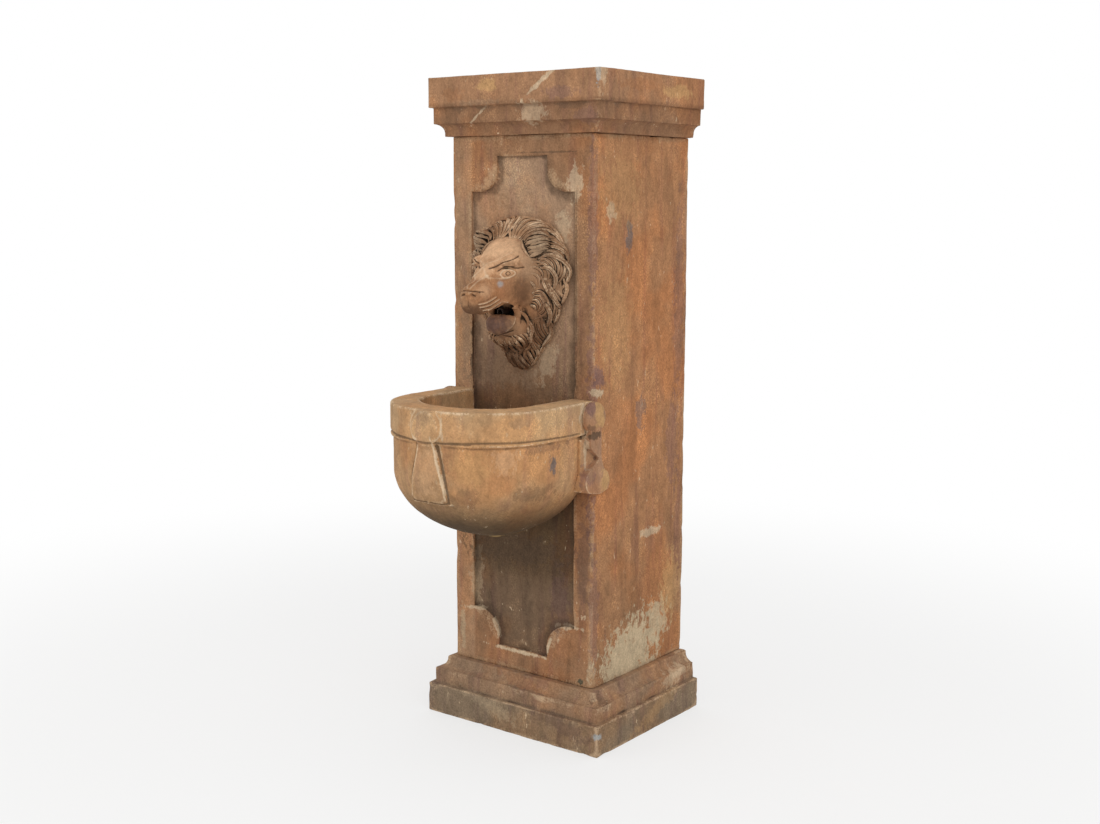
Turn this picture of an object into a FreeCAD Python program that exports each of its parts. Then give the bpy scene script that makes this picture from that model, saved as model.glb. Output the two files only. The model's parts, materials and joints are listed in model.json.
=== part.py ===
import FreeCAD, Part
import math
import os

from FreeCAD import Vector

# A garden wall fountain in cast stone: base, hollow column and cap, a D-shaped bowl on the front,
# a lion's head that spouts into it, and the pump, pipe and fixings behind.
# Millimetres. x runs across the front, y from the viewer to the wall, z up.
# The origin lies on the floor, in the middle of the column's front face.

# Driving sizes of the stack
total_height = 1400.0
column_width = 375.0
column_depth = 348.0
column_wall = 40.0
base_height = 126.0
cap_height = 123.0
spigot_height = 15.0
spigot_wall = 18.0
spigot_gap = 3.0
spigot_seat = 30.0

# Mouldings: how far each member stands out from the column, and its height
plinth_proud = 46.5
plinth_height = 66.0
step_proud = 35.0
step_height = 34.0
ledge_proud = 14.5
cap_foot_proud = 12.5
cap_foot_height = 9.0
cap_step_proud = 29.5
cap_step_height = 34.0
slab_proud = 37.0
slab_height = 63.0
slab_edge_round = 3.0
cap_roof = 55.0
ledge_round = 4.0

# Sunk panel on the column's front
panel_depth = 8.0
panel_half_width = 137.0
panel_foot_margin = 124.0
panel_head_margin = 116.0
tab_half_width = 66.0
top_tab_height = 73.0
bottom_tab_height = 76.0
top_corner_radius = 47.0
bottom_corner_radius = 60.0

# Openings at the back; the access opening starts this far below the bowl's rim
access_width = 190.0
access_drop = 200.0
access_height = 380.0
access_corner = 5.0
notch_width = 50.0
notch_height = 32.0

# Lion's head: it hangs below the panel's head, and the spout leaves its mouth
mask_margin = 49.0
mask_height = 327.0
mask_half_width = 113.0
mask_taper = 0.5
mane_depths = [0.0, 21.0, 38.0, 49.5, 56.5, 60.5]
mane_shares = [1.0, 0.95, 0.83, 0.67, 0.49, 0.3]
mane_centre_rise = 40.0
mane_locks = 22
lock_steps = 5
lock_depth = 0.06
lock_twist = 0.9
spout_drop = 196.0

# Sections of the skull and of the lower jaw, from the panel to the nose and to the chin:
# how far forward each lies, its middle above the spout, its half width and its half height
skull_reach = [0.0, 25.0, 45.0, 65.0, 85.0, 99.0, 112.0, 124.0, 135.0, 145.0, 155.0, 167.0, 173.0]
skull_rise = [74.0, 76.0, 76.0, 72.0, 66.0, 60.5, 54.0, 46.0, 38.0, 33.0, 31.0, 31.0, 33.0]
skull_half_width = [100.0, 92.0, 80.0, 64.0, 49.0, 41.0, 36.5, 33.5, 32.0, 31.0, 30.0, 26.0, 18.0]
skull_half_height = [86.0, 83.0, 78.0, 72.5, 66.0, 60.5, 54.0, 46.0, 38.0, 34.0, 32.0, 25.0, 13.0]
jaw_reach = [0.0, 45.0, 65.0, 80.0, 98.0, 106.0]
jaw_sink = [34.0, 34.0, 33.5, 33.0, 32.0, 32.0]
jaw_half_width = [58.0, 50.0, 43.5, 36.0, 27.0, 16.0]
jaw_half_height = [44.0, 38.0, 32.5, 26.0, 18.0, 9.0]
head_power = 2.15

# Swellings of the face: each one's root (from the middle, forwards, above the spout), and its
# half width, length and half height
nose_root = [0.0, 153.0, 43.0]
nose_radii = [24.0, 23.0, 13.0]
chin_root = [0.0, 82.0, -42.0]
chin_radii = [22.0, 22.0, 15.0]
brow_root = [35.0, 76.0, 103.0]
brow_radii = [27.0, 32.0, 11.0]
brow_slope = -18.0
eye_root = [36.0, 80.0, 83.0]
eye_radii = [13.0, 21.0, 9.0]
cheek_root = [46.0, 10.0, 46.0]
cheek_radii = [36.0, 52.0, 40.0]
ear_root = [73.0, 20.0, 146.0]
ear_radii = [18.0, 34.0, 22.0]
ear_slope = 25.0

# Hollows of the face: places from the middle, forwards and above the spout
philtrum_radius = 2.5
philtrum_head = [0.0, 176.0, 34.0]
philtrum_foot = [0.0, 144.0, -4.0]
nostril_radius = 3.5
nostril_front = [8.0, 185.0, 40.0]
nostril_end = [13.0, 158.0, 40.0]
ear_hollow = [77.0, 58.0, 148.0]
ear_hollow_radius = 12.0

# The open mouth's side view, from the lips round the roof and back over the tongue
mouth_half_width = 36.0
mouth_reach = [185.0, 185.0, 128.0, 92.0, 62.0, 46.0, 46.0, 72.0, 112.0]
mouth_rise = [-13.0, 1.0, 1.0, 21.0, 17.0, 10.0, -8.0, -14.0, -13.0]

# Bowl: its rim is this far below the beard's tip
rim_clearance = 45.0
band_height = 68.0
band_proud = 5.5
bowl_centre_y = -88.0
bowl_front_reach = 209.0
bowl_rear_reach = 164.0
bowl_plan_power = 2.55
basin_depth = 240.0
bowl_turn_rise = 100.0
bowl_drop = 146.0
bowl_profile_power = 1.91
bowl_foot_share = 0.2
basin_half_width = 132.0
basin_front_reach = 157.0
basin_floor_round = 30.0
rim_round = 4.0
bowl_back_wall = 30.0
back_window_depth = 50.0
pad_gap = 1.5
pad_drop = 200.0

# Medallion and strap on the bowl's front
medallion_radius = 36.0
medallion_sink = 4.0
medallion_proud = 5.0
medallion_round = 2.0
strap_start = 34.0
strap_tail = 49.0
strap_proud = [6.0, 9.0, 13.0]
strap_face_half = [20.0, 31.0, 40.0]
strap_bevel = [5.0, 11.0, 17.0]
strap_root = 30.0

# Side consoles; drops are measured down from the bowl's rim
console_proud = 17.0
console_tail_proud = 4.0
console_tail_length = 95.0
console_inner_depth = 38.0
console_joint = 0.5
roll_radius = 33.0
roll_centre_y = -9.0
roll_round = 8.0
neck_front_y = -30.0
neck_back_y = 18.0
neck_drop = 50.0
neck_end_drop = 100.0
notch_lip_drop = 92.0
notch_tip_y = 8.0
notch_tip_drop = 120.0
notch_foot_y = -40.0
notch_foot_drop = 144.0
lobe_front_y = -48.0
lobe_back_y = 53.0
lobe_drop = 167.0
lobe_back_start_y = 36.0
lobe_back_start_drop = 148.0
lobe_hollow_y = 22.0
lobe_hollow_drop = 130.0
foot_front_y = -20.0
foot_middle_y = 16.0
foot_back_y = 50.0
foot_drop = 188.0
foot_sag = 6.0
backing_front_y = -44.0
backing_back_y = 10.0
backing_top_drop = 76.0
backing_foot_drop = 184.0

# Fixings; bolts and console dowels are placed down from the rim, mask dowels from the spout
bolt_radius = 5.0
bolt_hole_gap = 0.6
bolt_head_flats = 17.0
bolt_head_height = 6.4
bolt_nut_height = 8.0
bolt_tail = 6.0
bolt_across = [105.0, 95.0]
bolt_drops = [90.0, 168.0]
steel_washer_radius = 11.0
steel_washer_height = 2.0
rubber_washer_radius = 14.0
rubber_washer_height = 3.0
dowel_radius = 4.0
dowel_gap = 0.1
mask_dowel_across = [70.0, 52.0]
mask_dowel_rises = [96.0, -36.0]
mask_dowel_depth = 26.0
console_dowel_radius = 3.0
console_dowel_depth = 22.0
console_dowel_reach = 5.0
console_dowel_back = [14.0, 12.0]
console_dowel_drops = [34.0, 168.0]

# Drain in the bowl's floor; the socket for the drain pipe ends this far below the floor
drain_bore = 12.0
drain_socket_bore = 13.0
drain_socket_drop = 22.0
drain_tube_radius = 16.0
drain_hole_gap = 0.4
drain_flange_radius = 22.0
drain_flange_height = 3.0
drain_nut_flats = 42.0
drain_nut_height = 6.0
drain_tail = 3.0
plug_gap = 0.05
plug_depth = 20.0
plug_head_radius = 15.0
plug_head_height = 3.0
plug_head_chamfer = 1.0
plug_knob_radius = 6.0
plug_knob_flare = 2.0
plug_neck_radius = 3.5
plug_knob_height = 14.0

# Spout through the wall and the lion's mouth
spout_radius = 7.5
spout_bore = 6.0
spout_mouth_y = -72.0
spout_hole_gap = 0.4
spout_washer_radius = 17.0
spout_washer_height = 2.0
spout_nut_flats = 27.0
spout_nut_height = 8.0
elbow_gap = 4.0
elbow_radius = 11.0
elbow_socket_depth = 12.0
elbow_bend = 16.0
elbow_drop = 26.0
barb_length = 18.0
barb_rib_height = 0.8
barb_straight_share = 0.4
barb_step = 0.1

# Hose from the pump up to the spout
hose_radius = 8.0
hose_bore = 6.3
tail_bore = 4.1
barb_gap = 0.05
hose_wall_drop = 85.0
hose_rise_y = 90.0
hose_lean_start = 135.0
hose_lean_end = 60.0
hose_bend_share = 0.45
clamp_gap = 0.05
clamp_thickness = 1.2
clamp_width = 9.0
clamp_above_collar = 5.0
clamp_above_barb_end = 4.0
clamp_screw_radius = 3.0
clamp_screw_length = 12.0
clamp_screw_sink = 1.0
stopper_radius = 17.0
stopper_flange_radius = 21.0
stopper_flange_height = 4.0
stopper_gap = 0.1
cord_bore = 3.2
cord_bore_rise = 12.4

# Pump
pump_x = 60.0
pump_chamber_y = -115.0
pump_width = 48.0
pump_height = 50.0
pump_body_length = 40.0
pump_corner = 6.0
pump_foot_height = 8.0
chamber_length = 18.0
chamber_radius = 20.0
chamber_wall = 3.0
chamber_floor = 1.0
impeller_radius = 14.5
impeller_plate = 2.0
impeller_plate_gap = 1.5
impeller_hub_gap = 2.0
impeller_blades = 6
impeller_blade_thickness = 1.6
impeller_blade_length = 8.0
rotor_radius = 9.0
rotor_length = 27.0
rotor_gap = 0.6
shaft_radius = 1.5
shaft_gap = 0.06
shaft_seat = 3.0
volute_plate = 2.5
volute_inlet_radius = 9.0
volute_hub_radius = 4.5
volute_arm = 2.4
strainer_length = 26.0
strainer_wall = 2.0
strainer_slots = 5
strainer_slot_width = 2.4
strainer_slot_length = 16.0
strainer_slot_pitch = 6.5
dial_radius = 12.0
dial_thickness = 3.0
dial_gap = 0.3
dial_pin_radius = 2.4
dial_pin_gap = 0.05
dial_pin_end = 1.5
dial_knob_radius = 4.4
dial_knob_height = 3.0
dial_windows = 3
dial_window_angle = 50.0
dial_window_hub = 2.6
dial_window_rim = 2.0
dial_tab_width = 4.0
dial_tab_reach = 4.0
outlet_radius = 8.5
outlet_rise = 6.0
outlet_root = 6.0
outlet_way_start = 10.0
outlet_slot_gap = 0.5
nozzle_collar_radius = 10.0
nozzle_collar_height = 5.0
cup_radius = 8.0
cup_stud_radius = 3.0
cup_stud_depth = 4.0
cup_lip = 2.0
cup_hollow = 2.0
cup_hollow_inset = 3.0
cup_edge = 1.0
cup_edge_height = 2.2
cup_neck = 1.0
cup_neck_height = 5.0
cup_places = [(-15.0, 8.0), (-15.0, 31.0), (15.0, 8.0), (15.0, 31.0)]
gland_rise = 10.0
gland_radius = 6.0
gland_collar = 3.0
gland_tip_radius = 4.2
gland_length = 14.0
gland_bore = 3.0

# Worked out from the sizes above
column_half = column_width / 2
core_half = column_half - column_wall
core_front = column_wall
core_back = column_depth - column_wall
cap_bottom = total_height - cap_height
step_top = plinth_height + step_height
panel_bottom = base_height + panel_foot_margin
panel_top = cap_bottom - panel_head_margin
mask_top = panel_top - mask_margin
mask_bottom = mask_top - mask_height
spout_height = mask_top - spout_drop
rim_top = mask_bottom - rim_clearance
access_bottom = rim_top - access_drop
band_bottom = rim_top - band_height
body_half = column_half - band_proud
basin_back = -bowl_back_wall
basin_floor = rim_top - basin_depth
bowl_turn_height = basin_floor + bowl_turn_rise
bowl_bottom = bowl_turn_height - bowl_drop * (
    1 - bowl_foot_share ** bowl_profile_power) ** (1 / bowl_profile_power)
bowl_back_top = rim_top - back_window_depth
medallion_height = rim_top - band_height / 2 - medallion_sink
bolt_places = [(across, rim_top - drop) for across, drop in zip(bolt_across, bolt_drops)]
mask_dowel_places = [(across, spout_height + rise)
                     for across, rise in zip(mask_dowel_across, mask_dowel_rises)]
console_dowel_places = [(back, rim_top - drop)
                        for back, drop in zip(console_dowel_back, console_dowel_drops)]
hose_wall_height = rim_top - hose_wall_drop
pump_bottom = basin_floor + pump_foot_height
pump_axis_z = pump_bottom + pump_height / 2
body_front_y = pump_chamber_y + chamber_length / 2
body_rear_y = body_front_y + pump_body_length
chamber_front_y = body_front_y - chamber_length
outlet_top = pump_bottom + pump_height + outlet_rise
elbow_centre_y = hose_rise_y
elbow_bottom = spout_height - elbow_drop
far = 1000.0


def block(x0, x1, y0, y1, z0, z1):
    """A box between two corners."""
    return Part.makeBox(x1 - x0, y1 - y0, z1 - z0, Vector(x0, y0, z0))


def rod(radius, start, end):
    """A round bar from one point to another."""
    run = Vector(*end) - Vector(*start)
    return Part.makeCylinder(radius, run.Length, Vector(*start), run)


def tube(outer, inner, start, end):
    return rod(outer, start, end).cut(rod(inner, start, end))


def hexagon(flats, start, end):
    """A hexagonal bar with the given size across its flats."""
    run = Vector(*end) - Vector(*start)
    corner = flats / math.sqrt(3)
    points = [Vector(corner * math.cos(math.radians(60 * i)), corner * math.sin(math.radians(60 * i)), 0)
              for i in range(7)]
    bar = Part.Face(Part.makePolygon(points)).extrude(Vector(0, 0, run.Length))
    bar.Placement = FreeCAD.Placement(Vector(*start), FreeCAD.Rotation(Vector(0, 0, 1), run))
    return bar


def revolved(profile, place, axis):
    """A turned piece: profile is (radius, distance along the axis) from foot to tip."""
    points = [Vector(r, 0, h) for r, h in profile]
    face = Part.Face(Part.makePolygon(points + points[:1]))
    solid = face.revolve(Vector(0, 0, 0), Vector(0, 0, 1), 360)
    solid.Placement = FreeCAD.Placement(Vector(*place), FreeCAD.Rotation(Vector(0, 0, 1), Vector(*axis)))
    return solid


def bars(radius, places, y0, y1):
    """Round bars from front to back, one at each (x, z) place."""
    return [rod(radius, (x, y0, z), (x, y1, z)) for x, z in places]


def both_sides(places):
    return [(side * x, z) for x, z in places for side in (-1, 1)]


def mirrored(shape):
    """The same shape on the other side of the middle plane."""
    return shape.mirror(Vector(0, 0, 0), Vector(1, 0, 0))


def pair(shape):
    return [shape, mirrored(shape)]


def fused(shapes):
    return shapes[0].multiFuse(shapes[1:]).removeSplitter()


def edge_chain(start, steps, place):
    """Edges through steps in a plane: ('line', point) or ('arc', middle, end)."""
    edges = []
    here = start
    for step in steps:
        if step[0] == "line":
            edges.append(Part.makeLine(place(*here), place(*step[1])))
        else:
            edges.append(Part.Arc(place(*here), place(*step[1]), place(*step[2])).toShape())
        here = step[-1]
    return edges


def arc_to(end, centre, radius, bulge):
    """One arc step to end; bulge is the unit direction from the centre to the arc's middle."""
    middle = (centre[0] + radius * bulge[0], centre[1] + radius * bulge[1])
    return ("arc", middle, end)


def moulded_block(start, steps):
    """A block with the moulding on its front and both sides and a flat back.

    The moulding is (distance from the column's face, height), from its foot to its top.
    """
    bottom, top = start[1], steps[-1][-1][1]
    front_steps = list(steps) + [("line", (-column_depth, top)), ("line", (-column_depth, bottom)),
                                 ("line", start)]
    front = Part.Face(Part.Wire(edge_chain(start, front_steps, lambda out, z: Vector(-far / 2, -out, z))))
    side_steps = list(steps) + [("line", (-column_half, top)), ("line", (-column_half, bottom)),
                                ("line", start)]
    side = Part.Face(Part.Wire(edge_chain(start, side_steps,
                                          lambda out, z: Vector(column_half + out, -far / 2, z))))
    side = side.extrude(Vector(0, 2 * far, 0))
    sides = fused([side, mirrored(side)])
    return front.extrude(Vector(far, 0, 0)).common(sides).removeSplitter()


def spigot(low, high):
    """The rectangular ring that enters the column's core and keeps the pieces in line."""
    outer = block(-core_half + spigot_gap, core_half - spigot_gap, core_front + spigot_gap,
                  core_back - spigot_gap, low, high)
    return outer.cut(inner_core(low - 1, high + 1))


def inner_core(low, high):
    """The clear way inside the spigots."""
    inset = spigot_gap + spigot_wall
    return block(-core_half + inset, core_half - inset, core_front + inset, core_back - inset, low, high)


def base_plinth():
    """A hollow moulded ring; its core narrows at the top, where the spigot stands on it."""
    diagonal = math.sqrt(0.5)
    radius = step_proud - ledge_proud
    cavetto = arc_to((ledge_proud, step_top + radius), (step_proud, step_top + radius), radius,
                     (-diagonal, -diagonal))
    edge = ledge_round
    crown = arc_to((ledge_proud - edge, base_height), (ledge_proud - edge, base_height - edge), edge,
                   (diagonal, diagonal))
    body = moulded_block((plinth_proud, 0.0), [
        ("line", (plinth_proud, plinth_height)),
        ("line", (step_proud, plinth_height)),
        ("line", (step_proud, step_top)),
        cavetto,
        ("line", (ledge_proud, base_height - edge)),
        crown])
    body = body.cut(block(-core_half, core_half, core_front, core_back, -1, base_height - spigot_seat))
    body = body.cut(inner_core(0, base_height + 1))
    body = body.cut(block(-notch_width / 2, notch_width / 2, core_back - 1, column_depth + 1,
                          -1, notch_height))
    return body.fuse(spigot(base_height - 1, base_height + spigot_height)).removeSplitter()


def panel_outline(depth_start):
    """The sunk panel's outline: a tall field with a narrower tab at each end, with rounded shoulders."""
    diagonal = math.sqrt(0.5)

    def shoulder(radius, height, sign, level):
        centre = (tab_half_width + radius, level + sign * radius)
        middle = (centre[0] - radius * diagonal, centre[1] - sign * radius * diagonal)
        return centre, middle

    top_centre, top_middle = shoulder(top_corner_radius, top_tab_height, 1, panel_top)
    low_centre, low_middle = shoulder(bottom_corner_radius, bottom_tab_height, -1, panel_bottom)
    right = [
        ("line", (panel_half_width, panel_top)),
        ("line", (top_centre[0], panel_top)),
        ("arc", top_middle, (tab_half_width, top_centre[1])),
        ("line", (tab_half_width, panel_top + top_tab_height)),
        ("line", (0.0, panel_top + top_tab_height)),
        ("line", (0.0, panel_bottom - bottom_tab_height)),
        ("line", (tab_half_width, panel_bottom - bottom_tab_height)),
        ("line", (tab_half_width, low_centre[1])),
        ("arc", low_middle, (low_centre[0], panel_bottom)),
        ("line", (panel_half_width, panel_bottom))]
    edges = edge_chain((panel_half_width, panel_bottom), right, lambda x, z: Vector(x, depth_start, z))
    half = Part.Face(Part.Wire(edges)).extrude(Vector(0, panel_depth - depth_start, 0))
    return fused([half, mirrored(half)])


def column_shaft():
    shaft = block(-column_half, column_half, 0, column_depth, base_height, cap_bottom)
    core = block(-core_half, core_half, core_front, core_back, base_height - 1, cap_bottom + 1)
    access = block(-access_width / 2, access_width / 2, core_back - 1, column_depth + 1,
                   access_bottom, access_bottom + access_height)
    corners = [edge for edge in access.Edges if abs(edge.tangentAt(edge.FirstParameter).y) > 0.9]
    access = access.makeFillet(access_corner, corners)
    shaft = shaft.cut(core).cut(access).cut(panel_outline(-1.0))
    holes = bars(bolt_radius + bolt_hole_gap, both_sides(bolt_places), -1, core_front + 1)
    holes += bars(spout_radius + spout_hole_gap, [(0, spout_height)], -1, core_front + 1)
    holes += bars(stopper_radius, [(pump_x, hose_wall_height)], -1, core_front + 1)
    holes += bars(dowel_radius + dowel_gap, both_sides(mask_dowel_places), -1, panel_depth + mask_dowel_depth)
    for y, z in console_dowel_places:
        holes += pair(rod(console_dowel_radius + dowel_gap, (column_half - console_dowel_depth, y, z),
                          (column_half + 1, y, z)))
    return shaft.cut(holes)


def cap_stone():
    diagonal = math.sqrt(0.5)
    radius = cap_step_proud - cap_foot_proud
    cove_start = cap_bottom + cap_foot_height
    step_bottom = cove_start + radius
    step_end = step_bottom + cap_step_height
    slab_bottom = total_height - slab_height
    cove = arc_to((cap_step_proud, step_bottom), (cap_step_proud, cove_start), radius,
                  (-diagonal, diagonal))
    edge = slab_edge_round
    foot_arris = arc_to((slab_proud, slab_bottom + edge), (slab_proud - edge, slab_bottom + edge), edge,
                        (diagonal, -diagonal))
    head_arris = arc_to((slab_proud - edge, total_height), (slab_proud - edge, total_height - edge), edge,
                        (diagonal, diagonal))
    steps = [("line", (cap_foot_proud, cove_start)), cove, ("line", (cap_step_proud, slab_bottom)),
             ("line", (slab_proud - edge, slab_bottom)), foot_arris,
             ("line", (slab_proud, total_height - edge)), head_arris]
    body = moulded_block((cap_foot_proud, cap_bottom), steps)
    body = body.cut(inner_core(cap_bottom - 1, total_height - cap_roof))
    return body.fuse(spigot(cap_bottom - spigot_height, cap_bottom + 1)).removeSplitter()


def plan_curve(half, front, rear, share, height, turns):
    """A closed plan of the bowl: a superellipse, deeper to the front than to the rear."""
    points = []
    for i in range(turns):
        angle = 2 * math.pi * i / turns
        across, along = math.cos(angle), math.sin(angle)
        x = half * share * math.copysign(abs(across) ** (2 / bowl_plan_power), across)
        reach = rear if along > 0 else front
        y = bowl_centre_y + reach * share * math.copysign(abs(along) ** (2 / bowl_plan_power), along)
        points.append(Vector(x, y, height))
    curve = Part.BSplineCurve()
    curve.interpolate(points, PeriodicFlag=True)
    return Part.Wire(curve.toShape())


def front_plan(half, front, back_y, height, steps=24):
    """A plan with a rounded front, and straight sides that run to the line of its back."""
    points = []
    for i in range(steps + 1):
        angle = math.pi * i / steps
        across, along = math.cos(angle), math.sin(angle)
        x = half * math.copysign(abs(across) ** (2 / bowl_plan_power), across)
        points.append(Vector(x, bowl_centre_y - front * along ** (2 / bowl_plan_power), height))
    curve = Part.BSplineCurve()
    curve.interpolate(points)
    right_back, left_back = Vector(half, back_y, height), Vector(-half, back_y, height)
    edges = [curve.toShape(), Part.makeLine(points[-1], left_back), Part.makeLine(left_back, right_back),
             Part.makeLine(right_back, points[0])]
    return Part.Face(Part.Wire(edges))


def bowl_outer(extra=0.0):
    """The bowl's outside up to its rim, before the basin is cut; extra swells it for the consoles' joint."""
    half, front, rear = body_half + extra, bowl_front_reach + extra, bowl_rear_reach + extra
    sections = []
    levels = 9
    last = math.acos(bowl_foot_share ** (bowl_profile_power / 2))
    for i in range(levels + 1):
        angle = last * (levels - i) / levels
        share = math.cos(angle) ** (2 / bowl_profile_power)
        drop = bowl_drop * math.sin(angle) ** (2 / bowl_profile_power)
        sections.append(plan_curve(half, front, rear, share, bowl_turn_height - drop - extra, 24))
    lower = Part.makeLoft(sections, True, False)
    upper = Part.Face(sections[-1]).extrude(Vector(0, 0, band_bottom - bowl_turn_height + extra + 1))
    band = front_plan(column_half + extra, bowl_front_reach + band_proud + extra, 0.0, band_bottom - extra)
    band = band.extrude(Vector(0, 0, band_height + 2 * extra))
    return lower, upper, band


def strap():
    """The strap that hangs from the medallion, wider and prouder towards its cut foot."""
    levels = [medallion_height - strap_start, bowl_turn_height, bowl_turn_height - strap_tail]
    sections = []
    for i, level in enumerate(levels):
        drop = max(bowl_turn_height - level, 0.0) / bowl_drop
        share = (1 - drop ** bowl_profile_power) ** (1 / bowl_profile_power)
        skin = bowl_centre_y - bowl_front_reach * share
        face, foot = strap_face_half[i], strap_face_half[i] + strap_bevel[i]
        root = skin + strap_root
        front = skin - strap_proud[i]
        outline = [(-foot, root), (-foot, skin), (-face, front), (face, front), (foot, skin), (foot, root)]
        points = [Vector(x, y, level) for x, y in outline]
        sections.append(Part.makePolygon(points + points[:1]))
    return Part.makeLoft(sections, True, True)


def bowl():
    lower, upper, band = bowl_outer()
    band = band.makeFillet(rim_round, [edge for edge in band.Edges if edge.BoundBox.ZMin > rim_top - 0.1
                                       and edge.BoundBox.YMin < -1])
    front_y = bowl_centre_y - bowl_front_reach - band_proud
    disc = rod(medallion_radius, (0, front_y + strap_root, medallion_height),
               (0, front_y - medallion_proud, medallion_height))
    disc = disc.makeFillet(medallion_round, [edge for edge in disc.Edges
                                             if edge.BoundBox.YMax < front_y - medallion_proud + 0.1])
    body = fused([lower, upper, band, disc, strap()])
    body = body.cut(block(-far, far, 0, far, 0, far))
    pad = block(-panel_half_width + pad_gap, panel_half_width - pad_gap, -1, panel_depth,
                rim_top - pad_drop, bowl_back_top)
    body = body.fuse(pad)
    basin = front_plan(basin_half_width, basin_front_reach, basin_back, basin_floor)
    basin = basin.extrude(Vector(0, 0, rim_top - basin_floor + 1))
    basin = basin.makeFillet(basin_floor_round, [edge for edge in basin.Edges
                                                 if edge.BoundBox.ZMax < basin_floor + 0.1])
    window = block(-basin_half_width, basin_half_width, basin_back - 5, 1, bowl_back_top, rim_top + 1)
    body = body.cut(basin).cut(window)
    holes = bars(bolt_radius + bolt_hole_gap, both_sides(bolt_places), basin_back - 1, panel_depth + 1)
    holes += bars(stopper_radius, [(pump_x, hose_wall_height)], basin_back - 1, panel_depth + 1)
    holes.append(rod(drain_tube_radius + drain_hole_gap, (0, bowl_centre_y, basin_floor + 1),
                     (0, bowl_centre_y, bowl_bottom - 1)))
    return body.cut(holes).removeSplitter()


def console_right():
    """The scrolled side piece: a roll at the rim, a neck with a notch, and a lobe at the foot."""
    face = column_half
    start = (neck_front_y, neck_drop)
    outline = [("line", (neck_front_y, notch_lip_drop)),
               ("line", (notch_tip_y, notch_tip_drop)),
               ("line", (notch_foot_y, notch_foot_drop)),
               ("arc", (lobe_front_y, lobe_drop), (foot_front_y, foot_drop)),
               ("arc", (foot_middle_y, foot_drop + foot_sag), (foot_back_y, foot_drop)),
               ("arc", (lobe_back_y, lobe_drop), (lobe_back_start_y, lobe_back_start_drop)),
               ("arc", (lobe_hollow_y, lobe_hollow_drop), (neck_back_y, neck_end_drop)),
               ("line", (neck_back_y, neck_drop)),
               ("line", start)]
    edges = edge_chain(start, outline, lambda y, drop: Vector(face - console_inner_depth, y, rim_top - drop))
    scroll = Part.Face(Part.Wire(edges)).extrude(Vector(console_inner_depth + console_proud, 0, 0))
    slope = math.degrees(math.atan2(console_proud - console_tail_proud, console_tail_length))
    paring = block(0, far, 0, far, 0, rim_top)
    paring.rotate(Vector(0, 0, 0), Vector(0, 0, 1), slope)
    paring.translate(Vector(face + console_proud, backing_front_y, 0))
    scroll = scroll.cut(paring)
    roll = rod(roll_radius, (face - console_inner_depth, roll_centre_y, rim_top - roll_radius),
               (face + console_proud, roll_centre_y, rim_top - roll_radius))
    roll = roll.makeFillet(roll_round, [edge for edge in roll.Edges
                                        if edge.BoundBox.XMin > face + console_proud - 0.1])
    backing = block(face - console_inner_depth, face, backing_front_y, backing_back_y,
                    rim_top - backing_foot_drop, rim_top - backing_top_drop)
    body = fused([scroll, roll, backing])
    lower, upper, band = bowl_outer(console_joint)
    body = body.cut([lower, upper, band, block(0, face, 0, far, 0, far)])
    holes = [rod(console_dowel_radius + dowel_gap, (face - 1, y, z), (face + console_dowel_reach, y, z))
             for y, z in console_dowel_places]
    return body.cut(holes)


def smooth_ring(points):
    """A closed smooth curve through points."""
    curve = Part.BSplineCurve()
    curve.interpolate(points, PeriodicFlag=True)
    return Part.Wire(curve.toShape())


def mane_section(share, depth, turn):
    """The mane at a depth in front of the panel: a drop that narrows to the beard, lobed into locks.

    turn moves the lobes along the outline, down both sides alike, in shares of a lock.
    """
    centre = (mask_top + mask_bottom) / 2
    level = centre + mane_centre_rise
    points = []
    for i in range(mane_locks * lock_steps):
        angle = 2 * math.pi * i / (mane_locks * lock_steps)
        along = angle * mane_locks / 2 + math.copysign(math.pi * turn, math.pi - angle)
        size = share * (1 - lock_depth * (1 - abs(math.sin(along))))
        x = mask_half_width * math.sin(angle) * (1 + mask_taper * math.cos(angle))
        z = centre + mask_height / 2 * math.cos(angle)
        points.append(Vector(x * size, panel_depth - depth, level + (z - level) * size))
    return Part.makePolygon(points + points[:1])


def head_section(reach, rise, half_width, half_height):
    """One upright section of the head, a rounded oval."""
    points = []
    for i in range(16):
        angle = 2 * math.pi * i / 16
        across, along = math.cos(angle), math.sin(angle)
        x = half_width * math.copysign(abs(across) ** (2 / head_power), across)
        z = half_height * math.copysign(abs(along) ** (2 / head_power), along)
        points.append(Vector(x, -reach, spout_height + rise + z))
    return smooth_ring(points)


def dome(root, radii, turn=0.0):
    """A rounded swelling of the face that points forwards, from its root to its blunt tip."""
    across, reach, rise = root
    sections = []
    for share in (0.0, 0.45, 0.75, 0.93, 0.99):
        size = math.sqrt(1 - share ** 2)
        points = []
        for i in range(10):
            angle = 2 * math.pi * i / 10
            points.append(Vector(radii[0] * size * math.cos(angle), -radii[1] * share,
                                 radii[2] * size * math.sin(angle)))
        sections.append(smooth_ring(points))
    solid = Part.makeLoft(sections, True, False)
    solid.rotate(Vector(0, 0, 0), Vector(0, 1, 0), turn)
    solid.translate(Vector(across, -reach, spout_height + rise))
    return solid


def face_swellings():
    """Nose, chin, brows, eyeballs, cheeks and ears."""
    swellings = [dome(nose_root, nose_radii), dome(chin_root, chin_radii)]
    swellings += pair(dome(brow_root, brow_radii, brow_slope))
    swellings += pair(dome(eye_root, eye_radii))
    swellings += pair(dome(cheek_root, cheek_radii))
    swellings += pair(dome(ear_root, ear_radii, ear_slope))
    return swellings


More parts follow.
